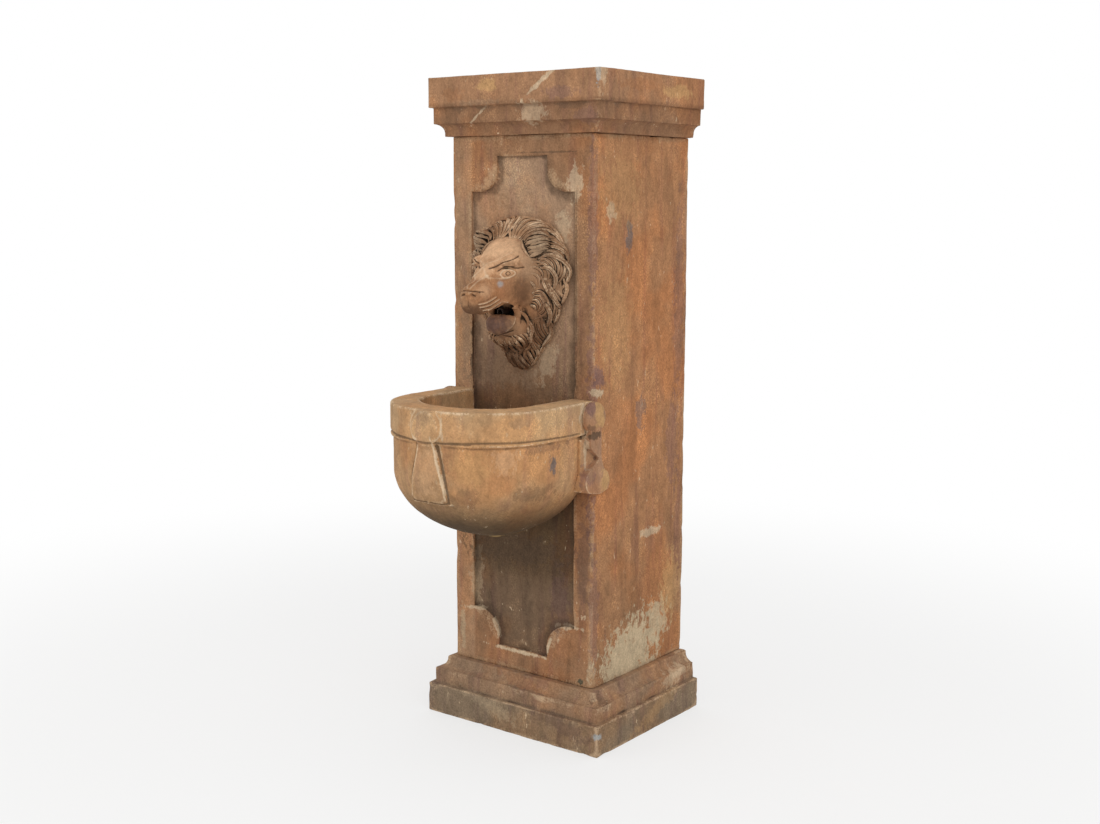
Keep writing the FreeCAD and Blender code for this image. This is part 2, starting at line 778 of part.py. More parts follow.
def face_hollows():
    """The groove under the nose, the nostrils and the hollows of the ears."""
    def place(across, reach, rise):
        return (across, -reach, spout_height + rise)

    hollows = [rod(philtrum_radius, place(*philtrum_head), place(*philtrum_foot))]
    hollows += pair(rod(nostril_radius, place(*nostril_front), place(*nostril_end)))
    return hollows + pair(Part.makeSphere(ear_hollow_radius, Vector(*place(*ear_hollow))))


def lion_mask():
    last = len(mane_depths) - 1
    mane = Part.makeLoft([mane_section(mane_shares[i], mane_depths[i], lock_twist * i / last)
                          for i in range(len(mane_depths))], True, True)
    skull = Part.makeLoft([head_section(*section) for section in
                           zip(skull_reach, skull_rise, skull_half_width, skull_half_height)], True, False)
    jaw = Part.makeLoft([head_section(reach, -sink, width, height) for reach, sink, width, height in
                         zip(jaw_reach, jaw_sink, jaw_half_width, jaw_half_height)], True, True)
    solid = fused([mane, skull, jaw] + face_swellings()).cut(face_hollows())
    points = [Vector(-mouth_half_width, -reach, spout_height + rise)
              for reach, rise in zip(mouth_reach, mouth_rise)]
    mouth = Part.Face(Part.makePolygon(points + points[:1])).extrude(Vector(2 * mouth_half_width, 0, 0))
    solid = solid.cut(mouth)
    solid = solid.cut(bars(spout_radius + spout_hole_gap, [(0, spout_height)],
                           spout_mouth_y, panel_depth + 1))
    return solid.cut(bars(dowel_radius + dowel_gap, both_sides(mask_dowel_places),
                          panel_depth - mask_dowel_depth, panel_depth + 1))


def mask_dowels():
    return Part.makeCompound(bars(dowel_radius, both_sides(mask_dowel_places),
                                  panel_depth - mask_dowel_depth, panel_depth + mask_dowel_depth))


def console_dowels():
    pins = []
    for y, z in console_dowel_places:
        pins += pair(rod(console_dowel_radius, (column_half - console_dowel_depth, y, z),
                         (column_half + console_dowel_reach, y, z)))
    return Part.makeCompound(pins)


def washer(outer, inner, place, height):
    x, y, z = place
    return tube(outer, inner, (x, y, z), (x, y + height, z))


def bowl_fixings():
    """The four bolts that hang the bowl: two washers in the bowl, a washer and a nut behind."""
    bolts, rubbers, steels, nuts = [], [], [], []
    bore = bolt_radius + barb_gap
    for x, z in both_sides(bolt_places):
        rubber_y = basin_back - rubber_washer_height
        steel_y = rubber_y - steel_washer_height
        nut_y = core_front + steel_washer_height
        rubbers.append(washer(rubber_washer_radius, bore, (x, rubber_y, z), rubber_washer_height))
        steels.append(washer(steel_washer_radius, bore, (x, steel_y, z), steel_washer_height))
        steels.append(washer(steel_washer_radius, bore, (x, core_front, z), steel_washer_height))
        head = hexagon(bolt_head_flats, (x, steel_y - bolt_head_height, z), (x, steel_y, z))
        shank = rod(bolt_radius, (x, steel_y - 1, z), (x, nut_y + bolt_nut_height + bolt_tail, z))
        bolts.append(head.fuse(shank))
        nut = hexagon(bolt_head_flats, (x, nut_y, z), (x, nut_y + bolt_nut_height, z))
        nuts.append(nut.cut(rod(bore, (x, nut_y - 1, z), (x, nut_y + bolt_nut_height + 1, z))))
    return {"bowl_bolts": Part.makeCompound(bolts), "bowl_washers_rubber": Part.makeCompound(rubbers),
            "bowl_washers_steel": Part.makeCompound(steels), "bowl_nuts": Part.makeCompound(nuts)}


def drain_bush():
    """A flanged bush through the bowl's floor; its lower end widens to the drain pipe's socket."""
    foot = bowl_bottom - drain_nut_height - drain_tail - basin_floor
    top = drain_flange_height
    profile = [(drain_socket_bore, foot), (drain_socket_bore, -drain_socket_drop),
               (drain_bore, -drain_socket_drop), (drain_bore, top), (drain_flange_radius, top),
               (drain_flange_radius, 0.0), (drain_tube_radius, 0.0), (drain_tube_radius, foot)]
    return revolved(profile, (0, bowl_centre_y, basin_floor), (0, 0, 1))


def drain_nut():
    low, high = (0, bowl_centre_y, bowl_bottom - drain_nut_height), (0, bowl_centre_y, bowl_bottom)
    return hexagon(drain_nut_flats, low, high).cut(rod(drain_tube_radius + barb_gap, low, high))


def drain_plug():
    """The pull-out plug: a straight shank in the bush, a seat on its flange, and a knob."""
    shank = drain_bore - plug_gap
    knob_start = plug_head_height + plug_knob_height - plug_knob_radius
    profile = [(0.0, -plug_depth), (shank, -plug_depth), (shank, 0.0), (plug_head_radius, 0.0),
               (plug_head_radius, plug_head_height - plug_head_chamfer),
               (plug_head_radius - plug_head_chamfer, plug_head_height),
               (plug_neck_radius, plug_head_height), (plug_neck_radius, knob_start),
               (plug_knob_radius, knob_start + plug_knob_flare),
               (plug_knob_radius, knob_start + 2 * plug_knob_flare),
               (plug_neck_radius, plug_head_height + plug_knob_height),
               (0.0, plug_head_height + plug_knob_height)]
    return revolved(profile, (0, bowl_centre_y, basin_floor + drain_flange_height), (0, 0, 1))


def barb(place, axis):
    """A ribbed hose tail: three cones on a tube, foot first."""
    tail = hose_bore - barb_gap
    rib = barb_length / 3
    profile = [(tail_bore, 0.0), (tail, 0.0)]
    for i in range(3):
        end = rib * (i + 1)
        profile += [(tail, rib * (i + barb_straight_share)), (tail - barb_rib_height, end - barb_step),
                    (tail, end)]
    profile = profile[:-1] + [(tail_bore, barb_length - barb_step)]
    return revolved(profile, place, axis)


def spout_parts():
    level = spout_height
    nut_y = core_front + spout_washer_height
    tube_end = nut_y + spout_nut_height + elbow_gap + elbow_socket_depth
    pipe = tube(spout_radius, spout_bore, (0, spout_mouth_y, level), (0, tube_end, level))
    ring = washer(spout_washer_radius, spout_radius + barb_gap, (0, core_front, level), spout_washer_height)
    nut = hexagon(spout_nut_flats, (0, nut_y, level), (0, nut_y + spout_nut_height, level))
    nut = nut.cut(bars(spout_radius + barb_gap, [(0, level)], nut_y - 1, nut_y + spout_nut_height + 1))
    return {"spout_tube": pipe, "spout_washer": ring, "spout_lock_nut": nut,
            "spout_elbow": spout_elbow(tube_end)}


def quarter_turn(radius, start):
    """A quarter turn of round bar, from running back to running down."""
    ring = Part.Face(Part.Wire(Part.makeCircle(radius, Vector(*start), Vector(0, 1, 0))))
    return ring.revolve(Vector(start[0], start[1], start[2] - elbow_bend), Vector(-1, 0, 0), 90)


def spout_elbow(tube_end):
    """The elbow that the spout's tube enters, with the hose's tail below it."""
    bend_start = (0, elbow_centre_y - elbow_bend, spout_height)
    bend_end = (0, elbow_centre_y, spout_height - elbow_bend)
    socket_start = (0, tube_end - elbow_socket_depth, spout_height)
    socket_end = (0, tube_end, spout_height)
    foot = (0, elbow_centre_y, elbow_bottom)
    body = fused([rod(elbow_radius, socket_start, bend_start), quarter_turn(elbow_radius, bend_start),
                  rod(elbow_radius, bend_end, foot)])
    body = body.cut(rod(spout_radius + barb_gap, socket_start, socket_end))
    way = fused([rod(tail_bore, socket_end, bend_start), quarter_turn(tail_bore, bend_start),
                 rod(tail_bore, bend_end, foot)])
    return body.cut(way).fuse(barb(foot, (0, 0, -1)))


def hose_path():
    """Straight runs joined by tangent arcs, from the pump's tail to the elbow's."""
    nozzle_top = outlet_top + nozzle_collar_height
    points = [Vector(pump_x, pump_chamber_y, nozzle_top), Vector(pump_x, pump_chamber_y, hose_wall_height),
              Vector(pump_x, hose_rise_y, hose_wall_height),
              Vector(pump_x, hose_rise_y, elbow_bottom - hose_lean_start),
              Vector(0, hose_rise_y, elbow_bottom - hose_lean_end), Vector(0, hose_rise_y, elbow_bottom)]
    edges, here = [], points[0]
    for before, corner, after in zip(points, points[1:], points[2:]):
        run_in, run_out = corner - before, after - corner
        turn = run_in.getAngle(run_out)
        radius = hose_bend_share * min(run_in.Length, run_out.Length) / math.tan(turn / 2)
        reach = radius * math.tan(turn / 2)
        start = corner - Vector(run_in).normalize() * reach
        end = corner + Vector(run_out).normalize() * reach
        inward = (Vector(run_out).normalize() - Vector(run_in).normalize()).normalize()
        centre = corner + inward * (radius / math.cos(turn / 2))
        middle = centre - inward * radius
        edges += [Part.makeLine(here, start), Part.Arc(start, middle, end).toShape()]
        print("hose turn of radius", round(radius, 1))
        here = end
    edges.append(Part.makeLine(here, points[-1]))
    return Part.Wire(edges)


def riser_hose():
    path = hose_path()
    start = path.Vertexes[0].Point
    rings = [Part.Wire(Part.makeCircle(radius, start, Vector(0, 0, 1)))
             for radius in (hose_radius, hose_bore)]
    outer, inner = [path.makePipeShell([ring], True, False) for ring in rings]
    print("hose length", round(path.Length, 1))
    return outer.cut(inner)


def hose_clamps():
    """A worm-drive band round each end of the hose, with its screw housing."""
    band = hose_radius + clamp_gap
    outer = band + clamp_thickness
    clamps = []
    for x, y, z in [(pump_x, pump_chamber_y, outlet_top + nozzle_collar_height + clamp_above_collar),
                    (0, elbow_centre_y, elbow_bottom - barb_length + clamp_above_barb_end)]:
        ring = tube(outer, band, (x, y, z), (x, y, z + clamp_width))
        screw_y, screw_z = y + outer + clamp_screw_radius - clamp_screw_sink, z + clamp_width / 2
        housing = rod(clamp_screw_radius, (x - clamp_screw_length / 2, screw_y, screw_z),
                      (x + clamp_screw_length / 2, screw_y, screw_z))
        clamps.append(ring.fuse(housing.cut(rod(band, (x, y, z - 1), (x, y, z + clamp_width + 1)))))
    return Part.makeCompound(clamps)


def bowl_hose_stopper():
    """The rubber stopper in the bowl's back wall, with a bore for the hose and a smaller one for the cord."""
    x, z = pump_x, hose_wall_height
    body = rod(stopper_radius - stopper_gap, (x, basin_back - 1, z), (x, panel_depth, z))
    flange = rod(stopper_flange_radius, (x, basin_back - stopper_flange_height, z), (x, basin_back, z))
    bores = [rod(hose_radius + stopper_gap, (x, basin_back - far, z), (x, far, z)),
             rod(cord_bore, (x, basin_back - far, z + cord_bore_rise), (x, far, z + cord_bore_rise))]
    return body.fuse(flange).cut(bores).removeSplitter()


def pump_block(y0, y1, inset=0.0):
    """A length of the pump's rounded-square housing."""
    half, low = pump_width / 2 - inset, pump_bottom + inset
    solid = block(pump_x - half, pump_x + half, y0, y1, low, pump_bottom + pump_height - inset)
    along = [edge for edge in solid.Edges if abs(edge.tangentAt(edge.FirstParameter).y) > 0.9]
    return solid.makeFillet(pump_corner - inset, along)


def pump_rod(radius, y0, y1):
    return rod(radius, (pump_x, y0, pump_axis_z), (pump_x, y1, pump_axis_z))


def pump_body():
    """The sealed motor housing with the rotor's well, the chamber boss and the outlet pipe."""
    well_end = body_front_y + rotor_length + rotor_gap
    body = pump_block(body_front_y, body_rear_y)
    boss = pump_rod(chamber_radius, chamber_front_y, body_front_y + 1)
    pipe = rod(outlet_radius, (pump_x, pump_chamber_y, pump_axis_z + chamber_radius - outlet_root),
               (pump_x, pump_chamber_y, outlet_top))
    body = fused([body, boss, pipe])
    floor_y = body_front_y - chamber_floor
    body = body.cut([pump_rod(chamber_radius - chamber_wall, chamber_front_y - 1, floor_y),
                     pump_rod(rotor_radius + rotor_gap, floor_y - 1, well_end),
                     pump_rod(shaft_radius, well_end - 1, well_end + shaft_seat),
                     rod(tail_bore, (pump_x, pump_chamber_y, pump_axis_z + outlet_way_start),
                         (pump_x, pump_chamber_y, outlet_top + 1))])
    feet = [rod(cup_stud_radius, (pump_x + x, body_front_y + y, pump_bottom - 1),
                (pump_x + x, body_front_y + y, pump_bottom + cup_stud_depth)) for x, y in cup_places]
    return body.cut(feet)


def pump_shaft():
    well_end = body_front_y + rotor_length + rotor_gap
    return pump_rod(shaft_radius, chamber_front_y - volute_plate, well_end + shaft_seat)


def pump_impeller():
    """The magnet rotor and its paddle wheel, in one piece on the shaft."""
    plate_back = body_front_y - impeller_plate_gap
    blade_root = plate_back - impeller_plate / 2
    hub = pump_rod(volute_hub_radius, chamber_front_y + impeller_hub_gap, plate_back)
    magnet = pump_rod(rotor_radius, blade_root, body_front_y + rotor_length)
    plate = pump_rod(impeller_radius, plate_back - impeller_plate, plate_back)
    blades = []
    for i in range(impeller_blades):
        blade = block(-impeller_blade_thickness / 2, impeller_blade_thickness / 2,
                      blade_root - impeller_blade_length, blade_root,
                      volute_hub_radius - 1, impeller_radius)
        blade.rotate(Vector(0, 0, 0), Vector(0, 1, 0), 360.0 * i / impeller_blades)
        blade.translate(Vector(pump_x, 0, pump_axis_z))
        blades.append(blade)
    solid = fused([hub, magnet, plate] + blades)
    return solid.cut(pump_rod(shaft_radius + shaft_gap, chamber_front_y, body_rear_y))


def pump_volute_cover():
    """The plate that closes the impeller's chamber, with an inlet round the shaft's hub on three arms."""
    plate = pump_rod(chamber_radius, chamber_front_y - volute_plate, chamber_front_y)
    inlet = pump_rod(volute_inlet_radius, chamber_front_y - volute_plate - 1, chamber_front_y + 1)
    hub = pump_rod(volute_hub_radius, chamber_front_y - volute_plate, chamber_front_y)
    arms = []
    for i in range(3):
        arm = block(-volute_arm / 2, volute_arm / 2, chamber_front_y - volute_plate, chamber_front_y,
                    0, volute_inlet_radius + 1)
        arm.rotate(Vector(0, 0, 0), Vector(0, 1, 0), 120.0 * i)
        arm.translate(Vector(pump_x, 0, pump_axis_z))
        arms.append(arm)
    solid = fused([plate.cut(inlet), hub] + arms)
    bore = pump_rod(shaft_radius + barb_gap, chamber_front_y - volute_plate - 1, chamber_front_y + 1)
    return solid.cut(bore)


def dial_window(y0, y1, start):
    """One of the curved windows that the dial and the strainer share."""
    inner = pump_rod(dial_pin_radius + dial_window_hub, y0 - 1, y1 + 1)
    ring = pump_rod(dial_radius - dial_window_rim, y0, y1).cut(inner)
    angle = math.radians(dial_window_angle)
    reach = 2 * dial_radius
    points = [Vector(0, y0, 0), Vector(reach, y0, 0),
              Vector(reach * math.cos(angle), y0, reach * math.sin(angle))]
    wedge = Part.Face(Part.makePolygon(points + points[:1])).extrude(Vector(0, y1 - y0, 0))
    wedge.rotate(Vector(0, 0, 0), Vector(0, 1, 0), -start)
    wedge.translate(Vector(pump_x, 0, pump_axis_z))
    return ring.common(wedge)


def pump_strainer_cover():
    """The slotted front that pulls off forwards; it has a slot at the top that passes the outlet pipe."""
    front = body_front_y - strainer_length
    inside = pump_block(front + strainer_wall, body_front_y + 1, strainer_wall)
    shell = pump_block(front, body_front_y).cut(inside)
    half = outlet_radius + outlet_slot_gap
    slot = block(pump_x - half, pump_x + half, pump_chamber_y - half, body_front_y + 1,
                 pump_axis_z, pump_bottom + pump_height + 1)
    cuts = [slot, pump_rod(dial_pin_radius + dial_pin_gap, front - 1, front + strainer_wall + 1)]
    middle = body_front_y - strainer_length / 2
    for i in range(strainer_slots):
        rise = (i - (strainer_slots - 1) / 2) * strainer_slot_pitch
        z = pump_axis_z + rise
        for side in (-1, 1):
            x = pump_x + side * pump_width / 2
            cuts.append(block(x - 2 * strainer_wall, x + 2 * strainer_wall,
                              middle - strainer_slot_length / 2, middle + strainer_slot_length / 2,
                              z - strainer_slot_width / 2, z + strainer_slot_width / 2))
    for i in range(dial_windows):
        cuts.append(dial_window(front - 1, front + strainer_wall + 1, i * 360.0 / dial_windows))
    return shell.cut(cuts)


def pump_flow_dial():
    """The round shutter on the strainer's front, with windows like the strainer's and a thumb tab."""
    front = body_front_y - strainer_length
    near = front - dial_gap
    disc = pump_rod(dial_radius, near - dial_thickness, near)
    pin = pump_rod(dial_pin_radius, near - 1, front + strainer_wall + dial_pin_end)
    knob = pump_rod(dial_knob_radius, near - dial_thickness - dial_knob_height, near - 1)
    tab = block(-dial_tab_width / 2, dial_tab_width / 2, near - dial_thickness, near,
                dial_radius - dial_window_rim, dial_radius + dial_tab_reach)
    tab.translate(Vector(pump_x, 0, pump_axis_z))
    windows = [dial_window(near - dial_thickness - 1, near + dial_gap / 2, i * 360.0 / dial_windows)
               for i in range(dial_windows)]
    return fused([disc, pin, knob, tab]).cut(windows)


def pump_outlet_nozzle():
    """The hose tail that screws on the pump's outlet pipe."""
    collar = tube(nozzle_collar_radius, tail_bore, (pump_x, pump_chamber_y, outlet_top),
                  (pump_x, pump_chamber_y, outlet_top + nozzle_collar_height))
    return collar.fuse(barb((pump_x, pump_chamber_y, outlet_top + nozzle_collar_height), (0, 0, 1)))


def pump_feet():
    """Four suction cups with studs in the pump's floor."""
    cups = []
    for x, y in cup_places:
        profile = [(0.0, cup_hollow), (cup_radius - cup_hollow_inset, cup_hollow),
                   (cup_radius - cup_lip, 0.0), (cup_radius, 0.0), (cup_radius - cup_edge, cup_edge_height),
                   (cup_stud_radius + cup_neck, cup_neck_height),
                   (cup_stud_radius + cup_neck, pump_foot_height), (cup_stud_radius - barb_gap, pump_foot_height),
                   (cup_stud_radius - barb_gap, pump_foot_height + cup_stud_depth),
                   (0.0, pump_foot_height + cup_stud_depth)]
        cups.append(revolved(profile, (pump_x + x, body_front_y + y, basin_floor), (0, 0, 1)))
    return Part.makeCompound(cups)


def pump_cable_gland():
    """The tapered gland on the pump's rear that the supply enters by."""
    profile = [(gland_bore, 0.0), (gland_radius, 0.0), (gland_radius, gland_collar),
               (gland_tip_radius, gland_length), (gland_bore, gland_length)]
    return revolved(profile, (pump_x, body_rear_y, pump_axis_z + gland_rise), (0, 1, 0))


def main():
    os.makedirs("parts", exist_ok=True)
    right = console_right()
    nodes = {
        "base_plinth": base_plinth(),
        "column_shaft": column_shaft(),
        "cap_stone": cap_stone(),
        "bowl": bowl(),
        "console_right": right,
        "console_left": mirrored(right),
        "lion_mask": lion_mask(),
        "mask_dowels": mask_dowels(),
        "console_dowels": console_dowels(),
        "drain_bush": drain_bush(),
        "drain_nut": drain_nut(),
        "drain_plug": drain_plug(),
        "riser_hose": riser_hose(),
        "hose_clamps": hose_clamps(),
        "bowl_hose_stopper": bowl_hose_stopper(),
        "pump_body": pump_body(),
        "pump_shaft": pump_shaft(),
        "pump_impeller": pump_impeller(),
        "pump_volute_cover": pump_volute_cover(),
        "pump_strainer_cover": pump_strainer_cover(),
        "pump_flow_dial": pump_flow_dial(),
        "pump_outlet_nozzle": pump_outlet_nozzle(),
        "pump_feet": pump_feet(),
        "pump_cable_gland": pump_cable_gland(),
    }
    nodes.update(bowl_fixings())
    nodes.update(spout_parts())
    for name, shape in nodes.items():
        print(name, "solids", len(shape.Solids), "valid", shape.isValid(), "volume", round(shape.Volume))
        shape.exportStep("parts/" + name + ".step")


main()
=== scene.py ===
import bmesh
import bpy
import json
import math
import numpy as np
from mathutils import Matrix, Vector, noise
from mathutils.bvhtree import BVHTree


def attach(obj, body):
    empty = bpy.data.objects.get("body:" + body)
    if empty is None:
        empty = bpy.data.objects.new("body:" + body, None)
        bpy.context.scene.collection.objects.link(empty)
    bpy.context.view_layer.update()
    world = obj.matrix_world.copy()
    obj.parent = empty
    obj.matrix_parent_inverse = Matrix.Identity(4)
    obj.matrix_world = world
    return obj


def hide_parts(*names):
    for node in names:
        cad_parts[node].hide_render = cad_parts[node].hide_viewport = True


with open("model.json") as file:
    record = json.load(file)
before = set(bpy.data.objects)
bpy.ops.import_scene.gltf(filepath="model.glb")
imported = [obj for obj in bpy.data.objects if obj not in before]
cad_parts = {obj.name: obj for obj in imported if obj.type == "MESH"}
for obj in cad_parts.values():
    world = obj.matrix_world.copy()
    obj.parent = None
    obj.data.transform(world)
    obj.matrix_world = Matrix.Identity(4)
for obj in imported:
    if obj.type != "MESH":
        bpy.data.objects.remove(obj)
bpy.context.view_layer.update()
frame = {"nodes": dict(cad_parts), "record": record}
mm = 0.001
nodes = frame["nodes"]
finishes = {}

# The camera stands where the photograph was taken from.
photoView = {"place": (1.8504, -2.3194, 1.1512), "turnLeft": 37.43, "tilt": -8.663, "roll": 0.103,
             "lens": 46.276, "sensor": 36.0, "middle": (550, 412), "width": 1100}


def makeCamera(view):
    data = bpy.data.cameras.new("photoCamera")
    data.lens = view["lens"]
    data.sensor_width = view["sensor"]
    camera = bpy.data.objects.new("photoCamera", data)
    turn = (Matrix.Rotation(math.radians(view["turnLeft"]), 4, "Z")
            @ Matrix.Rotation(math.radians(90 + view["tilt"]), 4, "X")
            @ Matrix.Rotation(math.radians(view["roll"]), 4, "Z"))
    camera.matrix_world = Matrix.Translation(view["place"]) @ turn
    bpy.context.scene.collection.objects.link(camera)
    bpy.context.scene.camera = camera
    return camera


def photoRay(view, camera, across, down):
    # the line of sight through a pixel of the photograph
    scale = view["sensor"] / view["lens"] / view["width"]
    sight = Vector(((across - view["middle"][0]) * scale, (view["middle"][1] - down) * scale, -1))
    return camera.matrix_world.translation, (camera.matrix_world.to_3x3() @ sight).normalized()


camera = makeCamera(photoView)
print("stage: camera")


# Materials: a small wrapper that writes shader maths as expressions.

class Wire:
    def __init__(self, tree, socket):
        self.tree = tree
        self.socket = socket

    def add(self, kind, settings=None, inputs=None, output=0):
        node = self.tree.nodes.new(kind)
        for key, value in (settings or {}).items():
            setattr(node, key, value)
        for key, value in (inputs or {}).items():
            if isinstance(value, Wire):
                self.tree.links.new(value.socket, node.inputs[key])
            else:
                node.inputs[key].default_value = value
        return Wire(self.tree, node.outputs[output])

    def maths(self, operation, *values):
        return self.add("ShaderNodeMath", {"operation": operation}, dict(enumerate(values)))

    def __add__(self, other):
        return self.maths("ADD", self, other)

    def __radd__(self, other):
        return self.maths("ADD", other, self)

    def __sub__(self, other):
        return self.maths("SUBTRACT", self, other)

    def __rsub__(self, other):
        return self.maths("SUBTRACT", other, self)

    def __mul__(self, other):
        return self.maths("MULTIPLY", self, other)

    def clamped(self):
        return self.add("ShaderNodeClamp", None, {0: self})

    def between(self, low, high):
        # 0 below low, 1 above high, smooth in between
        return self.add("ShaderNodeMapRange", {"interpolation_type": "SMOOTHSTEP"},
                        {0: self, 1: low, 2: high})

    def blend(self, colour, factor, way="MIX"):
        # this colour, with another laid over it
        second = (*colour, 1) if isinstance(colour, tuple) else colour
        return self.add("ShaderNodeMix", {"data_type": "RGBA", "blend_type": way},
                        {0: factor, 6: self, 7: second}, 2)

    def stretched(self, scale, turn=(0, 0, 0), shift=(0, 0, 0)):
        return self.add("ShaderNodeMapping", None, {0: self, 1: shift, 2: turn, 3: scale})

    def clouds(self, scale, detail=6, rough=0.6, warp=0.0):
        return self.add("ShaderNodeTexNoise", None, {"Vector": self, "Scale": scale, "Detail": detail,
                                                     "Roughness": rough, "Distortion": warp})

    def mark(self, name):
        return self.add("ShaderNodeAttribute", {"attribute_name": name}, None, 2)

    def axis(self, index):
        return self.add("ShaderNodeSeparateXYZ", None, {0: self}, index)


def newFinish(name, roughness, **fixed):
    # stores a new material and gives the wire of its object coordinates and its shader
    material = bpy.data.materials.new(name)
    material.use_nodes = True
    tree = material.node_tree
    shader = tree.nodes["Principled BSDF"]
    shader.inputs["Roughness"].default_value = roughness
    for key, value in fixed.items():
        shader.inputs[key.replace("_", " ")].default_value = value
    place = tree.nodes.new("ShaderNodeTexCoord")
    finishes[name] = material
    return Wire(tree, place.outputs["Object"]), shader


def finishWith(place, shader, colour, height=None, roughness=None, depth=1.0 * mm):
    # joins a colour, a roughness and a relief to the shader
    tree = place.tree
    tree.links.new(colour.socket, shader.inputs["Base Color"])
    if roughness is not None:
        tree.links.new(roughness.socket, shader.inputs["Roughness"])
    if height is not None:
        bump = place.add("ShaderNodeBump", None, {"Strength": 1.0, "Distance": depth, "Height": height})
        tree.links.new(bump.socket, shader.inputs["Normal"])


def colourOf(place, colour):
    # a wire that carries one colour
    same = (*colour, 1)
    return place.add("ShaderNodeMix", {"data_type": "RGBA"}, {0: 0.0, 6: same, 7: same}, 2)


# The stone: every piece is the same weathered cast stone in its own tones. Hollow is the dark colour laid in
# its hollows, painted shade on the lion where its skin is closed in, and proud is the colour of its worn
# ridges; the single numbers say how strong each effect is.
# A zone is a colour and the spans past which it takes over: axis, from and to in mm, where x is the distance
# from the middle and left is x itself.

sunkPanel = [("y", 3, 6), ("y", 30, 20), ("x", 138.5, 137.5)]
stoneLooks = {
    "base_stone": {
        "nodes": ["base_plinth"], "base": (0.33, 0.205, 0.122), "hollow": (0.12, 0.078, 0.052),
        "proud": (0.52, 0.36, 0.225), "streak": 0.5, "gold": 0.4, "cream": 0.7, "grain": 0.9, "edge": 0.8,
        "zones": [((0.25, 0.178, 0.114), [("z", 75, 60)])]},
    "column_stone": {
        "nodes": ["column_shaft"], "base": (0.335, 0.178, 0.092), "hollow": (0.07, 0.044, 0.028),
        "proud": (0.50, 0.34, 0.20), "streak": 0.5, "gold": 0.6, "cream": 0.6, "grain": 0.85, "edge": 0.5,
        "zones": [
            ((0.40, 0.235, 0.132), [("left", -130, -140), ("y", 8, 5)]),
            ((0.40, 0.25, 0.152), sunkPanel),
            # painted shadow: the sunk panel goes dark below the bowl, then lighter again near its foot
            ((0.118, 0.071, 0.037), sunkPanel + [("z", 900, 640)]),
            ((0.185, 0.115, 0.068), sunkPanel + [("z", 380, 300)]),
            # the side face: its own orange tone, and partly painted light, lighter than the front because of
            # how light falls on it
            ((0.425, 0.207, 0.096), [("x", 179, 184)]),
            ((0.355, 0.182, 0.088), [("x", 179, 184), ("z", 600, 250)])]},
    "cap_stone": {
        "nodes": ["cap_stone"], "base": (0.39, 0.207, 0.108), "hollow": (0.13, 0.08, 0.05),
        "proud": (0.56, 0.36, 0.21), "streak": 0.4, "gold": 0.5, "cream": 0.8, "grain": 0.75, "edge": 0.5,
        "zones": [((0.295, 0.155, 0.081), [("z", 1348, 1340)])]},
    "bowl_stone": {
        "nodes": ["bowl", "console_right"], "base": (0.47, 0.275, 0.137), "hollow": (0.12, 0.075, 0.042),
        "proud": (0.72, 0.54, 0.35), "streak": 0.35, "gold": 0.4, "cream": 0.8, "grain": 0.55, "edge": 0.8,
        "zones": [
            ((0.52, 0.325, 0.17), [("z", 672, 676)]),
            ((0.38, 0.215, 0.125), [("x", 186, 189)]),
            # darker underside of the bowl: partly dirt, partly painted shade under it
            ((0.10, 0.062, 0.032), [("z", 585, 490), ("x", 188, 186)])]},
    # the lion's near-black hollow colour is painted shade in the gaps between its locks and in its mouth
    "lion_stone": {
        "nodes": ["lion_mask"], "base": (0.34, 0.19, 0.102), "hollow": (0.028, 0.017, 0.010),
        "proud": (0.72, 0.52, 0.34), "streak": 0.25, "gold": 0.3, "cream": 0.3, "grain": 0.5, "edge": 0.95,
        "mirror": True, "ragged": 2.2, "fade": (1.35, 0.3), "shut": (0.16, 0.62), "zones": []}}

# What the weather brings: warm, purple, dark and gold multiply the colour under them, cream covers it
weather = {"warm": (1.12, 0.98, 0.86), "purple": (0.72, 0.63, 0.80), "dark": (0.52, 0.55, 0.58),
           "gold": (1.6, 1.65, 1.5), "cream": (0.68, 0.51, 0.33)}
stainAndShadowTones = {"purple": (0.21, 0.115, 0.10), "grey": (0.16, 0.13, 0.12), "cream": (0.62, 0.47, 0.31),
          "beige": (0.52, 0.40, 0.255), "dark": (0.10, 0.062, 0.038), "gold": (0.56, 0.33, 0.14),
          "blue": (0.40, 0.47, 0.50), "green": (0.07, 0.075, 0.05), "peach": (0.71, 0.435, 0.25),
          "tan": (0.30, 0.195, 0.12), "mauve": (0.13, 0.075, 0.06), "rust": (0.40, 0.17, 0.07),
          # the last tone is the near black of painted shade inside the lion's mouth
          "umber": (0.14, 0.07, 0.036), "holeShade": (0.012, 0.009, 0.008)}
